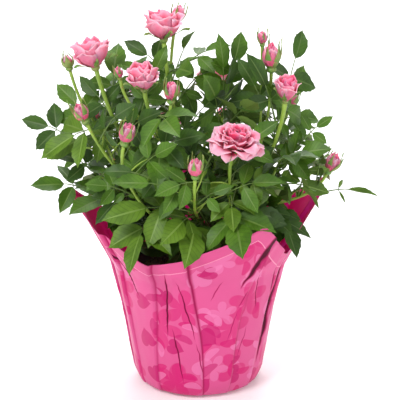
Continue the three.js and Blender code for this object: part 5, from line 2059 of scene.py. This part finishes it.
def film_material():
    """Glossy printed film with a plain hem along its rim, with painted shade in its folds, where it is also
    dull.
    """
    look = {"Roughness": FILM_ROUGHNESS, "Specular_IOR_Level": FILM_SHINE}
    material, graph, shader = plain_material("printed_film", **look)
    rim = graph.attribute("rim_distance")
    from_line = graph.math("ABSOLUTE", graph.math("SUBTRACT", rim, HEM_WIDTH))
    colour = printed(graph, FILM_PINK)
    colour = graph.blend(colour, FILM_HEM, graph.math("LESS_THAN", rim, HEM_WIDTH))
    colour = graph.blend(colour, HEM_LINE, graph.math("LESS_THAN", from_line, HEM_LINE_HALF))
    # painted shade of the pleats and creases, which darkens the colour in two steps
    fold = graph.math("MAXIMUM", graph.attribute("shade"), crease_shade_mask(graph))
    colour = graph.blend(colour, FOLD_SHADE_ROSE, graph.ramp(fold, *SHADE_ROSE_SPAN))
    colour = graph.blend(colour, FOLD_SHADE_DARK, graph.ramp(fold, *SHADE_DARK_SPAN))
    graph.feed(shader["Base Color"], colour)
    graph.feed(shader["Roughness"], graph.math("MULTIPLY_ADD", fold, FOLD_DULL, FILM_ROUGHNESS))
    return material


def dress_pot():
    """The pot, its mix and the film cover round them."""
    stands(nursery_pot(), "nursery_pot", "nursery_pot")
    stands(potting_mix(), "soil", "soil")
    stands(crumbs(), "soil")
    glow = {"Subsurface_Weight": 0.4, "Subsurface_Radius": (1, 0.4, 0.7), "Subsurface_Scale": 0.003}
    look = (tone(212, 30, 112), tone(224, 54, 130), 0.6, 30, 300, 0.2)
    inside = mottled_material("film_inside", *look, Specular_IOR_Level=0.15, **glow)[0]
    cover = film_cover([film_material(), inside])
    thicken(cover, FILM, offset=-1, material_offset=1)
    stands(cover, "film_cover", "pot_cover")


# ------------------------------------------------------------------ floor, light and camera, in metres

TARGET = Vector((0.0019, 0, 0.176))
CAMERA_DISTANCE = 1.5
ELEVATION = math.radians(18)
FRAME_HEIGHT = 0.372
SENSOR = 36
FLOOR_REACH = 6
WHITE = (1, 1, 1, 1)
FLOOR_GREY = (0.9, 0.9, 0.9, 1)
FLOOR_GLOW = 0.12
SKY_STRENGTH = 0.5
# each lamp: its place, what it aims at, its size and its power
LAMPS = {
    "key": ((-1.1, -1.5, 1.7), TARGET, 1, 34),
    "fill": ((1.5, -1.2, 0.9), TARGET, 1.4, 10),
    "top": ((0.2, 0.5, 2.1), TARGET, 1.6, 22),
    "backdrop": ((0, 3.2, 2.6), Vector((0, 3.6, 0)), 3, 150),
}


def put_in_scene(name, data, place, run):
    """A lamp or a camera at a place, looking along a run."""
    made = bpy.data.objects.new(name, data)
    made.location = place
    made.rotation_euler = run.to_track_quat("-Z", "Y").to_euler()
    bpy.context.scene.collection.objects.link(made)
    return made


def floor():
    """The pale floor under it all."""
    bm = bmesh.new()
    bmesh.ops.create_grid(bm, x_segments=1, y_segments=1, size=FLOOR_REACH)
    look = {"Roughness": 0.9, "Base_Color": FLOOR_GREY, "Emission_Color": WHITE}
    material = plain_material("pale_floor", Emission_Strength=FLOOR_GLOW, **look)[0]
    finished(bm, "floor", [material], scale=1, smooth=False)


def studio():
    """Soft lamps and a white sky, shown without a film look."""
    for name, (place, aim, size, power) in LAMPS.items():
        light = bpy.data.lights.new(name, "AREA")
        light.shape = "DISK"
        light.size = size
        light.energy = power
        put_in_scene(name, light, place, aim - Vector(place))
    world = bpy.data.worlds.new("studio")
    world.use_nodes = True
    background = world.node_tree.nodes["Background"].inputs
    background["Color"].default_value = WHITE
    background["Strength"].default_value = SKY_STRENGTH
    bpy.context.scene.world = world
    bpy.context.scene.view_settings.view_transform = "Standard"


def camera():
    """A long lens that looks a little down on the bush."""
    data = bpy.data.cameras.new("camera")
    data.sensor_width = SENSOR
    data.lens = SENSOR * CAMERA_DISTANCE / FRAME_HEIGHT
    back = Vector((0, -math.cos(ELEVATION), math.sin(ELEVATION)))
    bpy.context.scene.camera = put_in_scene("camera", data, TARGET + back * CAMERA_DISTANCE, -back)


dress_leaves()
dress_stems()
dress_heads()
dress_pot()
floor()
studio()
camera()
